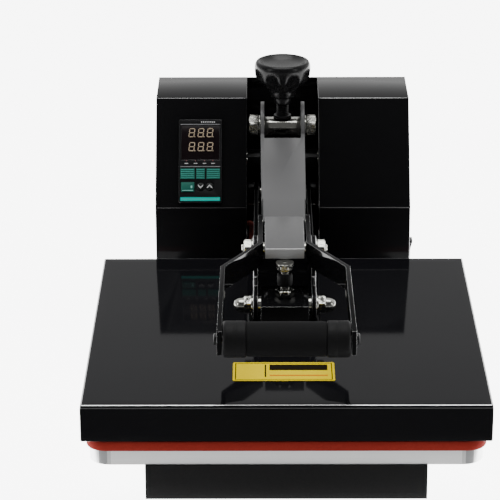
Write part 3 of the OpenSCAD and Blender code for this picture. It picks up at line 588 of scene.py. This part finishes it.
def nut(corner_r, thick, bore, centre, axis):
    """A hexagon nut: its outline is the lesser of the hexagon and a cone from each face, so the corners are
    chamfered. A bolt head has no bore and a slightly sunk face."""
    across = corner_r * math.sqrt(3)
    t = np.arange(96) / 96 * TAU
    drop = (corner_r - across / 2 * 0.96) / math.tan(math.radians(60))
    levels = [drop * s for s in (0, 0.35, 0.7, 1.0)]
    heights = levels + [thick - h for h in reversed(levels)]
    depth = levels + levels[::-1]
    outer = []
    for h, down in zip(heights, depth):
        r = np.minimum(hex_radius(across, t), across / 2 * 0.96 + down * math.tan(math.radians(60)))
        outer.append(np.stack([r * np.cos(t), r * np.sin(t), np.full(96, h)], -1))

    def circle(r, h):
        return np.stack([r * np.cos(t), r * np.sin(t), np.full(96, h)], -1)

    if bore:
        rings = [circle(bore, 0.5 * MM), circle(bore + 0.5 * MM, 0)] + outer
        rings += [circle(bore + 0.5 * MM, thick), circle(bore, thick - 0.5 * MM)]
        return loft(placed(np.array(rings), centre, axis), closed=True)
    rings = [circle(0.3 * across, 0)] + outer
    rings += [circle(0.38 * across, thick), circle(0.35 * across, thick - 0.3 * MM)]
    return loft(placed(np.array(rings), centre, axis))


def washer(outer, bore, thick, centre, axis):
    e = min(0.3 * MM, thick / 3)
    return turned([(bore, e), (bore, thick - e), (bore + e, thick), (outer - e, thick), (outer, thick - e),
                   (outer, e), (outer - e, 0), (bore + e, 0)], centre, axis, closed=True)


def threaded(r, length, pitch, centre, axis, sides=40, per_turn=8):
    """A screw's shank: the radius falls and rises once a pitch, its phase turning with the angle, and the end
    is chamfered."""
    rows = max(4, int(length / pitch * per_turn))
    t = (np.arange(sides) / sides * TAU)[None, :]
    h = np.linspace(0, length, rows)[:, None]
    wave = np.abs(np.mod(h / pitch - t / TAU, 1.0) - 0.5) * 2
    depth = 0.55 * pitch
    end = np.clip((length - h) / (1.2 * MM), 0, 1)
    radius = (r - depth * wave) * (0.8 + 0.2 * end)
    rings = np.stack([radius * np.cos(t), radius * np.sin(t), np.broadcast_to(h, radius.shape)], -1)
    return loft(placed(rings, centre, axis))


SIDES = ((1, "x"), (-1, "-x"))


# ------------------------------------------------------------------ covers, platens, base

def cover():
    """The folded cover: a thin shell, open below. A section of (inset, height) points, with a raised bead
    under the top edge, is swept round a rectangle with quarter-circle corners drawn in by the inset."""
    low, high = box("upper_cover")
    w, d = (high - low)[:2]
    mid = ((low + high) / 2)[:2]
    wall, bead, proud = 1.5 * MM, 2.9 * MM, 0.35 * MM
    top, bottom = high[2], low[2]
    section = [(wall, top - wall), (wall, bottom + 0.4 * MM), (wall - 0.4 * MM, bottom), (0.4 * MM, bottom),
               (0, bottom + 0.4 * MM), (0, bottom + 12 * MM), (0, top - bead - 2.2 * MM),
               (0, top - bead - 0.9 * MM), (0.1 * MM, top - bead - 0.4 * MM), (proud, top - bead),
               (proud + 0.1 * MM, top - bead + 0.3 * MM),
               (proud + 0.1 * MM, top - 1.3 * MM), (proud + 0.2 * MM, top - 0.75 * MM),
               (proud + 0.55 * MM, top - 0.3 * MM), (proud + 1.1 * MM, top - 0.06 * MM),
               (proud + 1.7 * MM, top),
               (12 * MM, top)]
    made = stand_in("upper_cover", "gloss_cover", [slab(w, d, 2.2 * MM, section, mid)], angle=50)
    # painted highlight: the top bend takes the strong and the bead the soft painted edge highlight material
    made.data.materials.append(PAINTED_EDGE_HIGHLIGHTS[STRONG].material)
    made.data.materials.append(PAINTED_EDGE_HIGHLIGHTS[SOFT].material)
    around = len(round_rect(1, 1, 0.1))
    for face in made.data.polygons:
        if len(face.vertices) == 4:
            ring = min(face.vertices) // around
            face.material_index = {13: 1, 14: 1, 8: 2, 9: 2}.get(ring, 0)  # top bend, bead


def plates():
    """The pad, the two platens and the label plate: each is an edge section of (inset, height) points swept
    round a rectangle with quarter-circle corners. The pad's section bulges 0.15 mm at its middle."""
    low, high = box("silicone_pad")
    size, mid, e = high - low, (low + high) / 2, 1.3 * MM
    bulge = [(e, low[2]), (0.35 * e, low[2] + 0.3 * e), (0, low[2] + e), (-0.15 * MM, mid[2]),
             (0, high[2] - e), (0.35 * e, high[2] - 0.3 * e), (e, high[2])]
    stand_in("silicone_pad", "foam_pad", [slab(size[0], size[1], 20 * MM, bulge, mid[:2])])
    for node, name, r in (("lower_platen", "lower_plate", 20 * MM),
                          ("heating_platen", "heating_plate", 15 * MM)):
        low, high = box(node)
        size, mid, e = high - low, (low + high) / 2, 0.7 * MM
        edge = [(e, low[2]), (0.2 * e, low[2] + 0.3 * e), (0, low[2] + e), (0, high[2] - e),
                (0.2 * e, high[2] - 0.3 * e), (e, high[2])]
        stand_in(node, name, [slab(size[0], size[1], r, edge, mid[:2])])
    low, high = box("label_plate")
    size, mid, e = high - low, (low + high) / 2, 0.15 * MM
    stand_in("label_plate", "yellow_label",
             [slab(size[0], size[1], 2 * MM, [(0, low[2]), (0, high[2] - e), (e, high[2])], mid[:2])])


def feet():
    """Bell-shaped feet with a dished sole, on their push-in stems: a profile of (radius, height) points
    turned round Z, as tall as the gap under the base."""
    low, high = box("rubber_feet")
    tall = box("base_box")[0][2]
    foot_r = 15 * MM
    parts = []
    for x in (low[0] + foot_r, high[0] - foot_r):
        for y in (low[1] + foot_r, high[1] - foot_r):
            profile = [(3 * MM, 2.5 * MM), (6 * MM, 2.2 * MM), (9.5 * MM, 0), (12 * MM, 0),
                       (13 * MM, 0.8 * MM), (13.6 * MM, 0.5 * tall), (14.8 * MM, 0.9 * tall),
                       (foot_r, tall), (5 * MM, tall),
                       (5 * MM, tall + 1.6 * MM), (6.4 * MM, tall + 1.8 * MM), (5 * MM, tall + 5.5 * MM),
                       (2 * MM, tall + 5.5 * MM)]
            parts.append(turned(profile, (x, y, 0), "z"))
    stand_in("rubber_feet", "feet", parts)


cover()
plates()
feet()
# The last column gives the level of painted highlight on the rounded edges; None leaves them in the part's own
# finish.
for cad, name, width, edge in (
        ("base_box", "base_shell", 1.6, None), ("base_bottom_plate", "base_tray", 0.5, None),
        ("housing_left", "left_shell", 0.9, SOFT), ("housing_right", "right_shell", 0.9, SOFT),
        ("rear_cover", "back_cover", 0.4, DIM), ("upright_left", "left_upright", 0.8, DIM),
        ("upright_right", "right_upright", 0.8, DIM), ("pressure_block", "screw_block", 0.9, DIM),
        ("arm_bar_left", "left_arm_bar", 0.7, CLEAR), ("arm_bar_right", "right_arm_bar", 0.7, CLEAR),
        ("platen_bracket", "bracket", 0.7, CLEAR), ("toggle_guard", "guard", 0.5, CLEAR),
        ("toggle_link", "link", 0.6, STRONG),
        ("handle_bar_left", "left_handle_bar", 0.7, CLEAR),
        ("handle_bar_right", "right_handle_bar", 0.7, CLEAR),
        ("controller_bezel", "meter_frame", 0.4, DIM), ("controller_case", "meter_case", 0.8, None),
        ("controller_window", "meter_window", 0.15, None), ("set_key", "wide_key", 0.5, None),
        ("down_key", "round_key_a", 0.6, None), ("up_key", "round_key_b", 0.6, None),
        ("rocker_frame", "switch_frame", 0.5, None), ("power_rocker", "switch_rocker", 0.6, None),
        ("power_inlet", "inlet", 0.5, None), ("solid_state_relay", "relay", 0.8, None),
        ("trunnion_bar", "trunnion", 0.6, None), ("hinge_shaft", "shaft", 0.6, None),
        ("arm_cross_tube", "cross_tube", 0.3, None), ("hinge_bushes", "bushes", 0.4, None),
        ("insulation_board", "board", 0.8, None), ("screw_collars", "collars", 0.6, None)):
    softened(cad, name, width * MM, edge, GUARD if cad == "toggle_guard" else None)


# ------------------------------------------------------------------ fasteners

def side_spots(node):
    """The sides, with a node's middle in Y and Z and its outer reach in X."""
    low, high = box(node)
    mid = (low + high) / 2
    return [(np.array([0, mid[1], mid[2]]), s, axis, high[0]) for s, axis in SIDES]


def fasteners():
    """Nuts, washers, bolts and pins, mirrored about the middle: hexagons with a turned chamfer, profiles of
    (radius, reach) points turned round X, and shanks whose radius follows a helix."""
    zinc = []
    for mid, s, axis, reach in side_spots("pivot_nuts"):
        inner = 32.4 * MM
        zinc.append(washer(10.5 * MM, 5.1 * MM, 1.6 * MM, mid + [s * inner, 0, 0], axis))
        zinc.append(nut(9.8 * MM, reach - inner - 1.6 * MM, 5.05 * MM,
                        mid + [s * (inner + 1.6 * MM), 0, 0], axis))
    stand_in("pivot_nuts", "handle_nuts", zinc)
    parts = []
    for mid, s, axis, reach in side_spots("pivot_bolts"):
        parts.append(nut(8.5 * MM, 6.5 * MM, None, mid + [s * 16.3 * MM, 0, 0], "-x" if s > 0 else "x"))
        parts.append(threaded(5 * MM, reach - 16 * MM, 1.5 * MM, mid + [s * 16 * MM, 0, 0], axis))
        parts.append(washer(6.5 * MM, 5.1 * MM, 1.9 * MM, mid + [s * 20.3 * MM, 0, 0], axis))
    stand_in("pivot_bolts", "handle_bolts", parts)
    parts = []
    for mid, s, axis, reach in side_spots("bracket_bolts"):
        head = round_rect(10 * MM, 18 * MM, 1.5 * MM)
        tee = [np.column_stack([head * k, np.full(len(head), h * MM)])
               for k, h in ((0.93, 13), (1, 13.5), (1, 19.2))]
        parts.append(loft(placed(np.array(tee), mid, axis)))
        parts.append(threaded(5 * MM, reach - 19 * MM, 1.5 * MM, mid + [s * 19 * MM, 0, 0], axis))
        parts.append(washer(9 * MM, 5.1 * MM, 3.1 * MM, mid + [s * 24.3 * MM, 0, 0], axis))
        parts.append(washer(10.5 * MM, 5.1 * MM, 1.6 * MM, mid + [s * 32.4 * MM, 0, 0], axis))
    stand_in("bracket_bolts", "platen_hanger_bolts", parts)
    parts = []
    for mid, s, axis, reach in side_spots("acorn_nuts"):
        foot = mid + [s * 34 * MM, 0, 0]
        parts.append(nut(9.8 * MM, 8 * MM, 5.05 * MM, foot, axis))
        dome = [(7.9 * MM, 7.7 * MM), (7.7 * MM, 10.5 * MM)]
        dome += [(7.6 * MM * math.cos(a), 11 * MM + 7.6 * MM * math.sin(a))
                 for a in np.radians(np.arange(4, 89, 7))]
        parts.append(turned(dome, foot, axis))
    stand_in("acorn_nuts", "cap_nuts", parts)
    parts = []
    for mid, s, axis, reach in side_spots("trunnion_bolts"):
        parts.append(washer(12.5 * MM, 6 * MM, 1.7 * MM, mid + [s * 25.1 * MM, 0, 0], axis))
        parts.append(turned([(6 * MM, 10 * MM), (6 * MM, 27 * MM)], mid, axis))
        parts.append(nut(13.4 * MM, reach - 26.8 * MM, None, mid + [s * 26.8 * MM, 0, 0], axis))
        parts.append(turned([(5 * MM, reach - 1 * MM), (5 * MM, reach - 0.25 * MM), (4.4 * MM, reach)],
                            mid, axis))
    stand_in("trunnion_bolts", "trunnion_nuts", parts)
    parts = []
    for mid, s, axis, reach in side_spots("hinge_nuts"):
        parts.append(nut(13 * MM, 8 * MM, 8.05 * MM, mid + [s * 49 * MM, 0, 0], axis))
    stand_in("hinge_nuts", "shaft_nuts", parts)
    parts = []
    for mid, s, axis, reach in side_spots("grip_bolts"):
        parts.append(turned([(3 * MM, 20 * MM), (3 * MM, reach - 2.9 * MM), (5.5 * MM, reach - 3 * MM),
                             (5.5 * MM, reach - 0.9 * MM), (5.2 * MM, reach - 0.3 * MM), (4.6 * MM, reach),
                             (2.2 * MM, reach), (1.9 * MM, reach - 1.6 * MM)], mid, axis))
    stand_in("grip_bolts", "grip_screws", parts)


def stop():
    """The adjustable stop: washer head, threaded shank, two nuts and the ribbed rubber bumper."""
    low, high = box("stop_bolt")
    mid = (low + high) / 2
    foot = np.array([mid[0], mid[1], 0.0])
    top = high[2]
    parts = [washer(9.5 * MM, 2 * MM, 2.4 * MM, foot + [0, 0, top - 2.6 * MM], "z"),
             nut(8 * MM, 6 * MM, None, foot + [0, 0, top - 8.5 * MM], "z"),
             turned([(3 * MM, top - 3 * MM), (3 * MM, top - 0.4 * MM), (2.4 * MM, top)], foot, "z"),
             threaded(5 * MM, top - 8.2 * MM - low[2], 1.5 * MM, foot + [0, 0, low[2]], "z")]
    stand_in("stop_bolt", "stop_stud", parts)
    low, high = box("stop_nuts")
    parts = [nut(8.8 * MM, 6.4 * MM, 5.05 * MM, foot + [0, 0, low[2]], "z"),
             nut(9.8 * MM, 8 * MM, 5.05 * MM, foot + [0, 0, high[2] - 8 * MM], "z")]
    stand_in("stop_nuts", "stop_lock_nuts", parts)
    low, high = box("stop_bumper")
    t = np.arange(96) / 96 * TAU
    rings = []
    tall = high[2] - low[2]
    for share, wide in ((0, 5.2), (0, 6.6), (0.06, 7.5), (0.2, 8.0), (0.5, 8.1), (0.8, 8.0), (0.94, 7.4),
                        (1, 6.4), (1, 5.2)):
        r = wide * MM * (1 - 0.03 * (wide > 7) * (0.5 + 0.5 * np.cos(t * 20)))
        rings.append(np.stack([r * np.cos(t), r * np.sin(t), np.full(96, low[2] + share * tall)], -1) + foot)
    stand_in("stop_bumper", "bumper", [loft(rings, closed=True)])


fasteners()
stop()


# ------------------------------------------------------------------ knob and screw

def knob():
    """A dished hand knob: a bowl turned round Z whose skirt is pressed in at eight finger hollows. With share
    and hollow from the table, r = share * rim * (1 - hollow * (0.5 - 0.5 * cos(8 * angle)) ** 1.5)."""
    low, high = box("pressure_knob")
    mid = (low + high) / 2
    sides, hollows, drawn_h = 192, 8, 42.0
    t = np.arange(sides) / sides * TAU
    rim, top, base = (high[0] - low[0]) / 2, high[2], low[2]
    # radius share, height above the hub's foot, hollow depth
    shape = [(0.24, 0.3, 0), (0.40, 0.0, 0), (0.435, 0.6, 0), (0.47, 2.0, 0), (0.475, 6.5, 0),
             (0.50, 9.0, 0.02), (0.60, 12.0, 0.08), (0.72, 14.5, 0.16), (0.84, 17.5, 0.24),
             (0.93, 21.0, 0.24), (0.975, 25.0, 0.19),
             (0.99, 29.0, 0.10), (1.0, 32.5, 0.03), (1.0, 35.0, 0.0), (0.99, 37.8, 0), (0.965, 40.0, 0),
             (0.925, 41.5, 0), (0.885, 42.0, 0), (0.845, 41.7, 0), (0.80, 40.6, 0), (0.72, 38.2, 0),
             (0.58, 35.4, 0), (0.40, 33.4, 0), (0.20, 32.4, 0), (0.05, 32.2, 0)]
    rings = []
    for share, h, hollow in shape:
        wave = ((0.5 - 0.5 * np.cos(hollows * t)) ** 1.5)
        r = share * rim * (1 - hollow * wave)
        rings.append(np.stack([mid[0] + r * np.cos(t), mid[1] + r * np.sin(t),
                               np.full(sides, base + h * (top - base) / drawn_h)], -1))
    stand_in("pressure_knob", "hand_knob", [loft(rings)], angle=55).data.materials[0] = KNOB.material
    low, high = box("pressure_screw")
    mid = (low + high) / 2
    stand_in("pressure_screw", "threaded_rod",
             [threaded(7 * MM, high[2] - low[2], 2 * MM, (mid[0], mid[1], low[2]), "z",
                       sides=48, per_turn=7)])


knob()


# ------------------------------------------------------------------ handle grip

def grip():
    """The foam tube swells a little between its end sleeves: r = r0 * (1 + small waves along and round it)."""
    low, high = box("foam_grip")
    mid = (low + high) / 2
    r0 = (high[2] - low[2]) / 2
    half = (high[0] - low[0]) / 2
    t = (np.arange(96) / 96 * TAU)[None, :]
    x = np.linspace(-half, half, 49)[:, None]
    end = np.clip((half - np.abs(x)) / (3 * MM), 0, 1)
    swell = 0.992 + 0.006 * np.cos(x / half * math.pi / 2) + 0.0015 * np.sin(3 * t + 90 * x) * np.cos(210 * x)
    r = r0 * swell * (0.955 + 0.045 * np.sqrt(end * (2 - end)))
    rings = np.stack([r * np.cos(t), r * np.sin(t), np.broadcast_to(x, r.shape)], -1)
    core = 8.05 * MM
    inner = [np.stack([core * np.cos(t[0]), core * np.sin(t[0]), np.full(96, s)], -1) for s in (half, -half)]
    skin = placed(np.concatenate([rings, np.array(inner)]), mid, "x")
    stand_in("foam_grip", "foam_tube", [loft(skin, closed=True)])
    low, high = box("grip_sleeves")
    r1, reach = (high[2] - low[2]) / 2, high[0]
    parts = []
    for s, axis in SIDES:
        a, b = half + 0.2 * MM, reach
        parts.append(turned([(core, a), (r1 - 1.2 * MM, a), (r1 - 0.3 * MM, a + 0.5 * MM), (r1, a + 1.6 * MM),
                             (r1, a + 9 * MM), (r1 - 0.25 * MM, a + 9.4 * MM), (r1 - 0.25 * MM, a + 10.2 * MM),
                             (r1, a + 10.6 * MM), (r1, b - 2.6 * MM), (r1 - 0.5 * MM, b - 1.1 * MM),
                             (r1 - 1.8 * MM, b), (core, b)], (0, mid[1], mid[2]), axis, sides=96, closed=True))
    stand_in("grip_sleeves", "end_sleeves", parts)


grip()


# ------------------------------------------------------------------ controller face

def panel_axes():
    """Right, up-slope and outward directions of the controller, and the middle of its front face."""
    out = -np.array(JOINTS["set_press"]["axis"], float)
    right = np.array([1.0, 0, 0])
    up = np.cross(out, right)
    co = np.array([v.co for v in NODES["controller_bezel"].data.vertices])
    a, b, c = co @ right, co @ up, co @ out
    mid = right * (a.min() + a.max()) / 2 + up * (b.min() + b.max()) / 2 + out * c.max()
    return right, up, out, mid


RIGHT, UP, OUT, FACE = panel_axes()


def on_face(flat):
    """Local (right, up, out) millimetres on the controller's face, as points of the frame."""
    flat = np.asarray(flat, float) * MM
    return FACE + flat @ np.array([RIGHT, UP, OUT])


def chip(outline, low, high, edge=0.15, lean=0.0):
    """A thin flat shape on the controller's face, with its upper edge eased; lean shears it to the right."""
    outline = np.asarray(outline, float)
    mid = outline.mean(0)
    rings = []
    for z, inset in ((low, 0), (high - edge, 0), (high, edge)):
        reach = np.linalg.norm(outline - mid, axis=1, keepdims=True)
        flat = mid + (outline - mid) * (1 - inset / np.maximum(reach, inset * 2))
        flat = flat + np.array([[lean, 0]]) * (flat[:, 1:2] - mid[1])
        rings.append(np.column_stack([flat, np.full(len(flat), z)]))
    return loft(on_face(rings))


def bar(x0, y0, x1, y1, r=0.3):
    """Outline of a small bar from its low corner to its high corner."""
    mid = np.array([(x0 + x1) / 2, (y0 + y1) / 2])
    return round_rect(x1 - x0, y1 - y0, r, 4) + mid


def digit(cx, cy, w=5.7, h=9.4, t=0.85, lean=0.13):
    """Seven pointed bars and a dot, leaning to the right."""
    parts = []
    a, b = w / 2, h / 2

    def pointed(p, q):
        p, q = np.array(p, float), np.array(q, float)
        d = (q - p) / np.linalg.norm(q - p)
        n = np.array([-d[1], d[0]]) * t / 2
        p, q = p + d * 0.25, q - d * 0.25
        return np.array([p, p + d * t / 2 + n * -1, q - d * t / 2 - n, q,
                         q - d * t / 2 + n, p + d * t / 2 + n])

    spots = [((-a, b), (a, b)), ((-a, 0), (a, 0)), ((-a, -b), (a, -b)), ((-a, 0), (-a, b)), ((a, 0), (a, b)),
             ((-a, -b), (-a, 0)), ((a, -b), (a, 0))]
    for p, q in spots:
        shear = np.array([[1, 0], [lean, 1]])
        outline = pointed(p, q) @ shear + [cx, cy]
        parts.append(chip(outline, -0.35, -0.12, edge=0.03))
    dot = np.array(arc((cx + a + 1.1 - lean * b, cy - b), 0.6, 0, 330, 12))
    parts.append(chip(dot, -0.35, -0.12, edge=0.03))
    return parts


def controller_face():
    digits = [p for x in (-9.6, 0.6, 10.8) for y in (32.9, 16.7) for p in digit(x, y)]
    stand_in("display_segments", "led_digits", digits)
    body = BODY_OF["controller_bezel"]
    rules = [chip(bar(-22.4, y - 0.45, 22.4, y + 0.45), -0.2, 0.12) for y in (42.6, -6.4)]
    piece("face_rules", rules, body, PRINT, "meter_plastic")
    ticks = [chip(bar(x - 2.0, -3.2, x + 2.0, -2.2), -0.2, 0.1) for x in (-15.6, -5.4, 4.8, 14.2)]
    ticks += [chip(bar(x, 44.6, x + 1.5, 46.0), -0.2, 0.1) for x in np.arange(0.5, 16, 2.4)]
    piece("face_ticks", ticks, body, BRIGHT, "meter_plastic")
    lamps = [chip(arc((x, 0.4), 0.7, 0, 330, 12), -0.2, 0.35) for x in (-15.6, -5.4, 4.8, 14.2)]
    piece("status_lamps", lamps, body, moulded("unlit_lamp", (0.10, 0.02, 0.02), 0.3), "meter_plastic")
    ribs, fields = [], []
    for x0, x1 in ((-22.2, -6.2), (-4.6, 5.2), (7.0, 22.2)):
        fields.append(chip(bar(x0, -20.8, x1, -8.6), -0.3, 0.35))
        for y in np.arange(-19.6, -9, 2.35):
            ribs.append(chip(bar(x0 + 0.4, y - 0.5, x1 - 0.4, y + 0.5), 0.2, 1.0, edge=0.35))
    piece("green_fields", fields, body, FINISHES["key_green"], "key_green")
    piece("green_ribs", ribs, body, RIB, "key_green")
    piece("teal_strip", [chip(bar(-22.2, -46.0, 22.2, -41.8), -0.2, 0.25)], body, TEAL, "key_green")

    def chevron(x, y, s):
        flat = np.array([(-2.9, -1.5), (0, 1.5), (2.9, -1.5), (2.9, 0.2), (0, 3.2), (-2.9, 0.2)]) - [0, 0.8]
        return flat * [1, s] + [x, y]

    lift = 1.2
    for name, cap, x, s in (("down_mark", "down_key", 0.4, -1), ("up_mark", "up_key", 10.6, 1)):
        piece(name, [chip(chevron(x, -29.6, s), lift - 0.2, lift + 0.12)], BODY_OF[cap], BRIGHT, "key_dark")
    mark = [chip(bar(-10.6, -31.6, -8.8, -28.6), lift - 0.2, lift + 0.12),
            chip(bar(-20.2, -34.4, -7.8, -33.8), lift - 0.2, lift + 0.12)]
    piece("set_mark", mark, BODY_OF["set_key"],
          moulded("pale_green_print", (0.15, 0.42, 0.36), 0.5), "key_green")


controller_face()


# ------------------------------------------------------------------ heater lead

LEAD_R = 3 * MM
PLATEN_Y = -98.5 * MM
LEAD_ROUTE = np.array([
    (-40.4, 376, 84), (-38.5, 375.5, 84), (-36.5, 373, 84.5), (-36, 368, 85), (-36, 355, 86), (-36, 340, 86),
    (-36, 325, 84), (-36, 310, 82), (-36, 295, 80), (-36, 280, 79), (-36, 265, 78.5), (-36, 250, 79),
    (-36, 235, 81), (-36, 220, 84), (-36, 208, 87), (-36, 197, 88)], float) * MM + [0, PLATEN_Y, 0]


def heater_lead():
    """A tube along a smooth curve through the route's points; u runs round it and v along it."""
    at = np.linspace(0, len(LEAD_ROUTE) - 1, 120)
    base = np.clip(np.floor(at).astype(int), 0, len(LEAD_ROUTE) - 2)
    f = (at - base)[:, None]
    pad = np.vstack([2 * LEAD_ROUTE[0] - LEAD_ROUTE[1], LEAD_ROUTE, 2 * LEAD_ROUTE[-1] - LEAD_ROUTE[-2]])
    p0, p1, p2, p3 = (pad[base + k] for k in range(4))
    path = 0.5 * (2 * p1 + (p2 - p0) * f + (2 * p0 - 5 * p1 + 4 * p2 - p3) * f ** 2
                  + (3 * p1 - p0 - 3 * p2 + p3) * f ** 3)
    run = np.gradient(path, axis=0)
    run /= np.linalg.norm(run, axis=1, keepdims=True)
    side = np.cross(run, [0, 0.02, 1])
    side /= np.linalg.norm(side, axis=1, keepdims=True)
    over = np.cross(run, side)
    sides = 24
    t = np.arange(sides) / sides * TAU
    rings = (path[:, None, :] + LEAD_R * (side[:, None, :] * np.cos(t)[None, :, None]
                                          + over[:, None, :] * np.sin(t)[None, :, None]))
    round_it, along_it = np.broadcast_arrays((t / TAU)[None, :], np.linspace(0, 1, len(path))[:, None])
    uv = np.stack([round_it, along_it], -1).reshape(-1, 2)
    lead = piece("heater_lead_sleeve", [loft(rings)], None, FINISHES["lead_sleeve"], "lead_sleeve",
                 ("heater_lead",), uv=uv)
    hinge = np.array(JOINTS["arm_lift"]["pos_m"])
    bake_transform(lead)


heater_lead()


# ------------------------------------------------------------------ floor and light

FLOOR_REACH = 14.0
# Strength of the floor's glow, and how far in front of the middle it starts
GLOW, GLOW_FRONT = 7.0, 0.30


def stage_and_light():
    """A pale floor that glows behind a line near the press's front, a sky bright at the back, softboxes."""
    floor = bpy.data.meshes.new("floor")
    r = FLOOR_REACH
    floor.from_pydata([(-r, -r, 0), (r, -r, 0), (r, r, 0), (-r, r, 0)], [], [(0, 1, 2, 3)])
    ground = bpy.data.objects.new("floor", floor)
    ground.location.z = -0.05 * MM
    bpy.context.scene.collection.objects.link(ground)
    pale = Finish("pale_floor", Roughness=0.9, Specular_IOR_Level=0.1, Emission_Strength=1.0)
    pale.set(Base_Color=pale.mix(pale.noise(2.0), rgb(0.66, 0.66, 0.66), rgb(0.68, 0.68, 0.68)))
    lit = ((pale.axes()[1] + GLOW_FRONT) * 60.0).clamped()
    pale.set(Emission_Color=pale.mix(lit, rgb(0, 0, 0), rgb(GLOW, GLOW, GLOW)))
    floor.materials.append(pale.material)

    world = bpy.data.worlds.new("studio")
    world.use_nodes = True
    bpy.context.scene.world = world
    tree = world.node_tree
    way = tree.nodes.new("ShaderNodeTexCoord").outputs["Generated"]
    parts = tree.nodes.new("ShaderNodeSeparateXYZ")
    tree.links.new(way, parts.inputs[0])
    behind = (Wire(tree, parts.outputs["Y"]) * 3.0 + 0.4).clamped()
    tree.nodes["Background"].inputs["Color"].default_value = rgb(1, 1, 1)
    feed(tree, tree.nodes["Background"].inputs["Strength"], behind * 0.9 + 0.2)

    def softbox(name, place, target, size, power):
        data = bpy.data.lights.new(name, "AREA")
        data.shape = "RECTANGLE"
        data.size, data.size_y = size
        data.energy = power
        lamp = bpy.data.objects.new(name, data)
        bpy.context.scene.collection.objects.link(lamp)
        away = np.array(place, float) - np.array(target, float)
        z = away / np.linalg.norm(away)
        x = np.cross([0, 1, 0] if abs(z[2]) > 0.95 else [0, 0, 1], z)
        x /= np.linalg.norm(x)
        matrix = Matrix(np.column_stack([x, np.cross(z, x), z]).tolist()).to_4x4()
        matrix.translation = place
        lamp.matrix_world = matrix

    softbox("overhead", (0, -0.2, 3.0), (0, -0.2, 0), (2.6, 1.6), 85)
    softbox("front_left", (-2.8, -1.6, 1.6), (0, 0, 0.1), (0.8, 1.6), 22)
    softbox("front_right", (2.8, -1.6, 1.6), (0, 0, 0.1), (0.8, 1.6), 18)


stage_and_light()
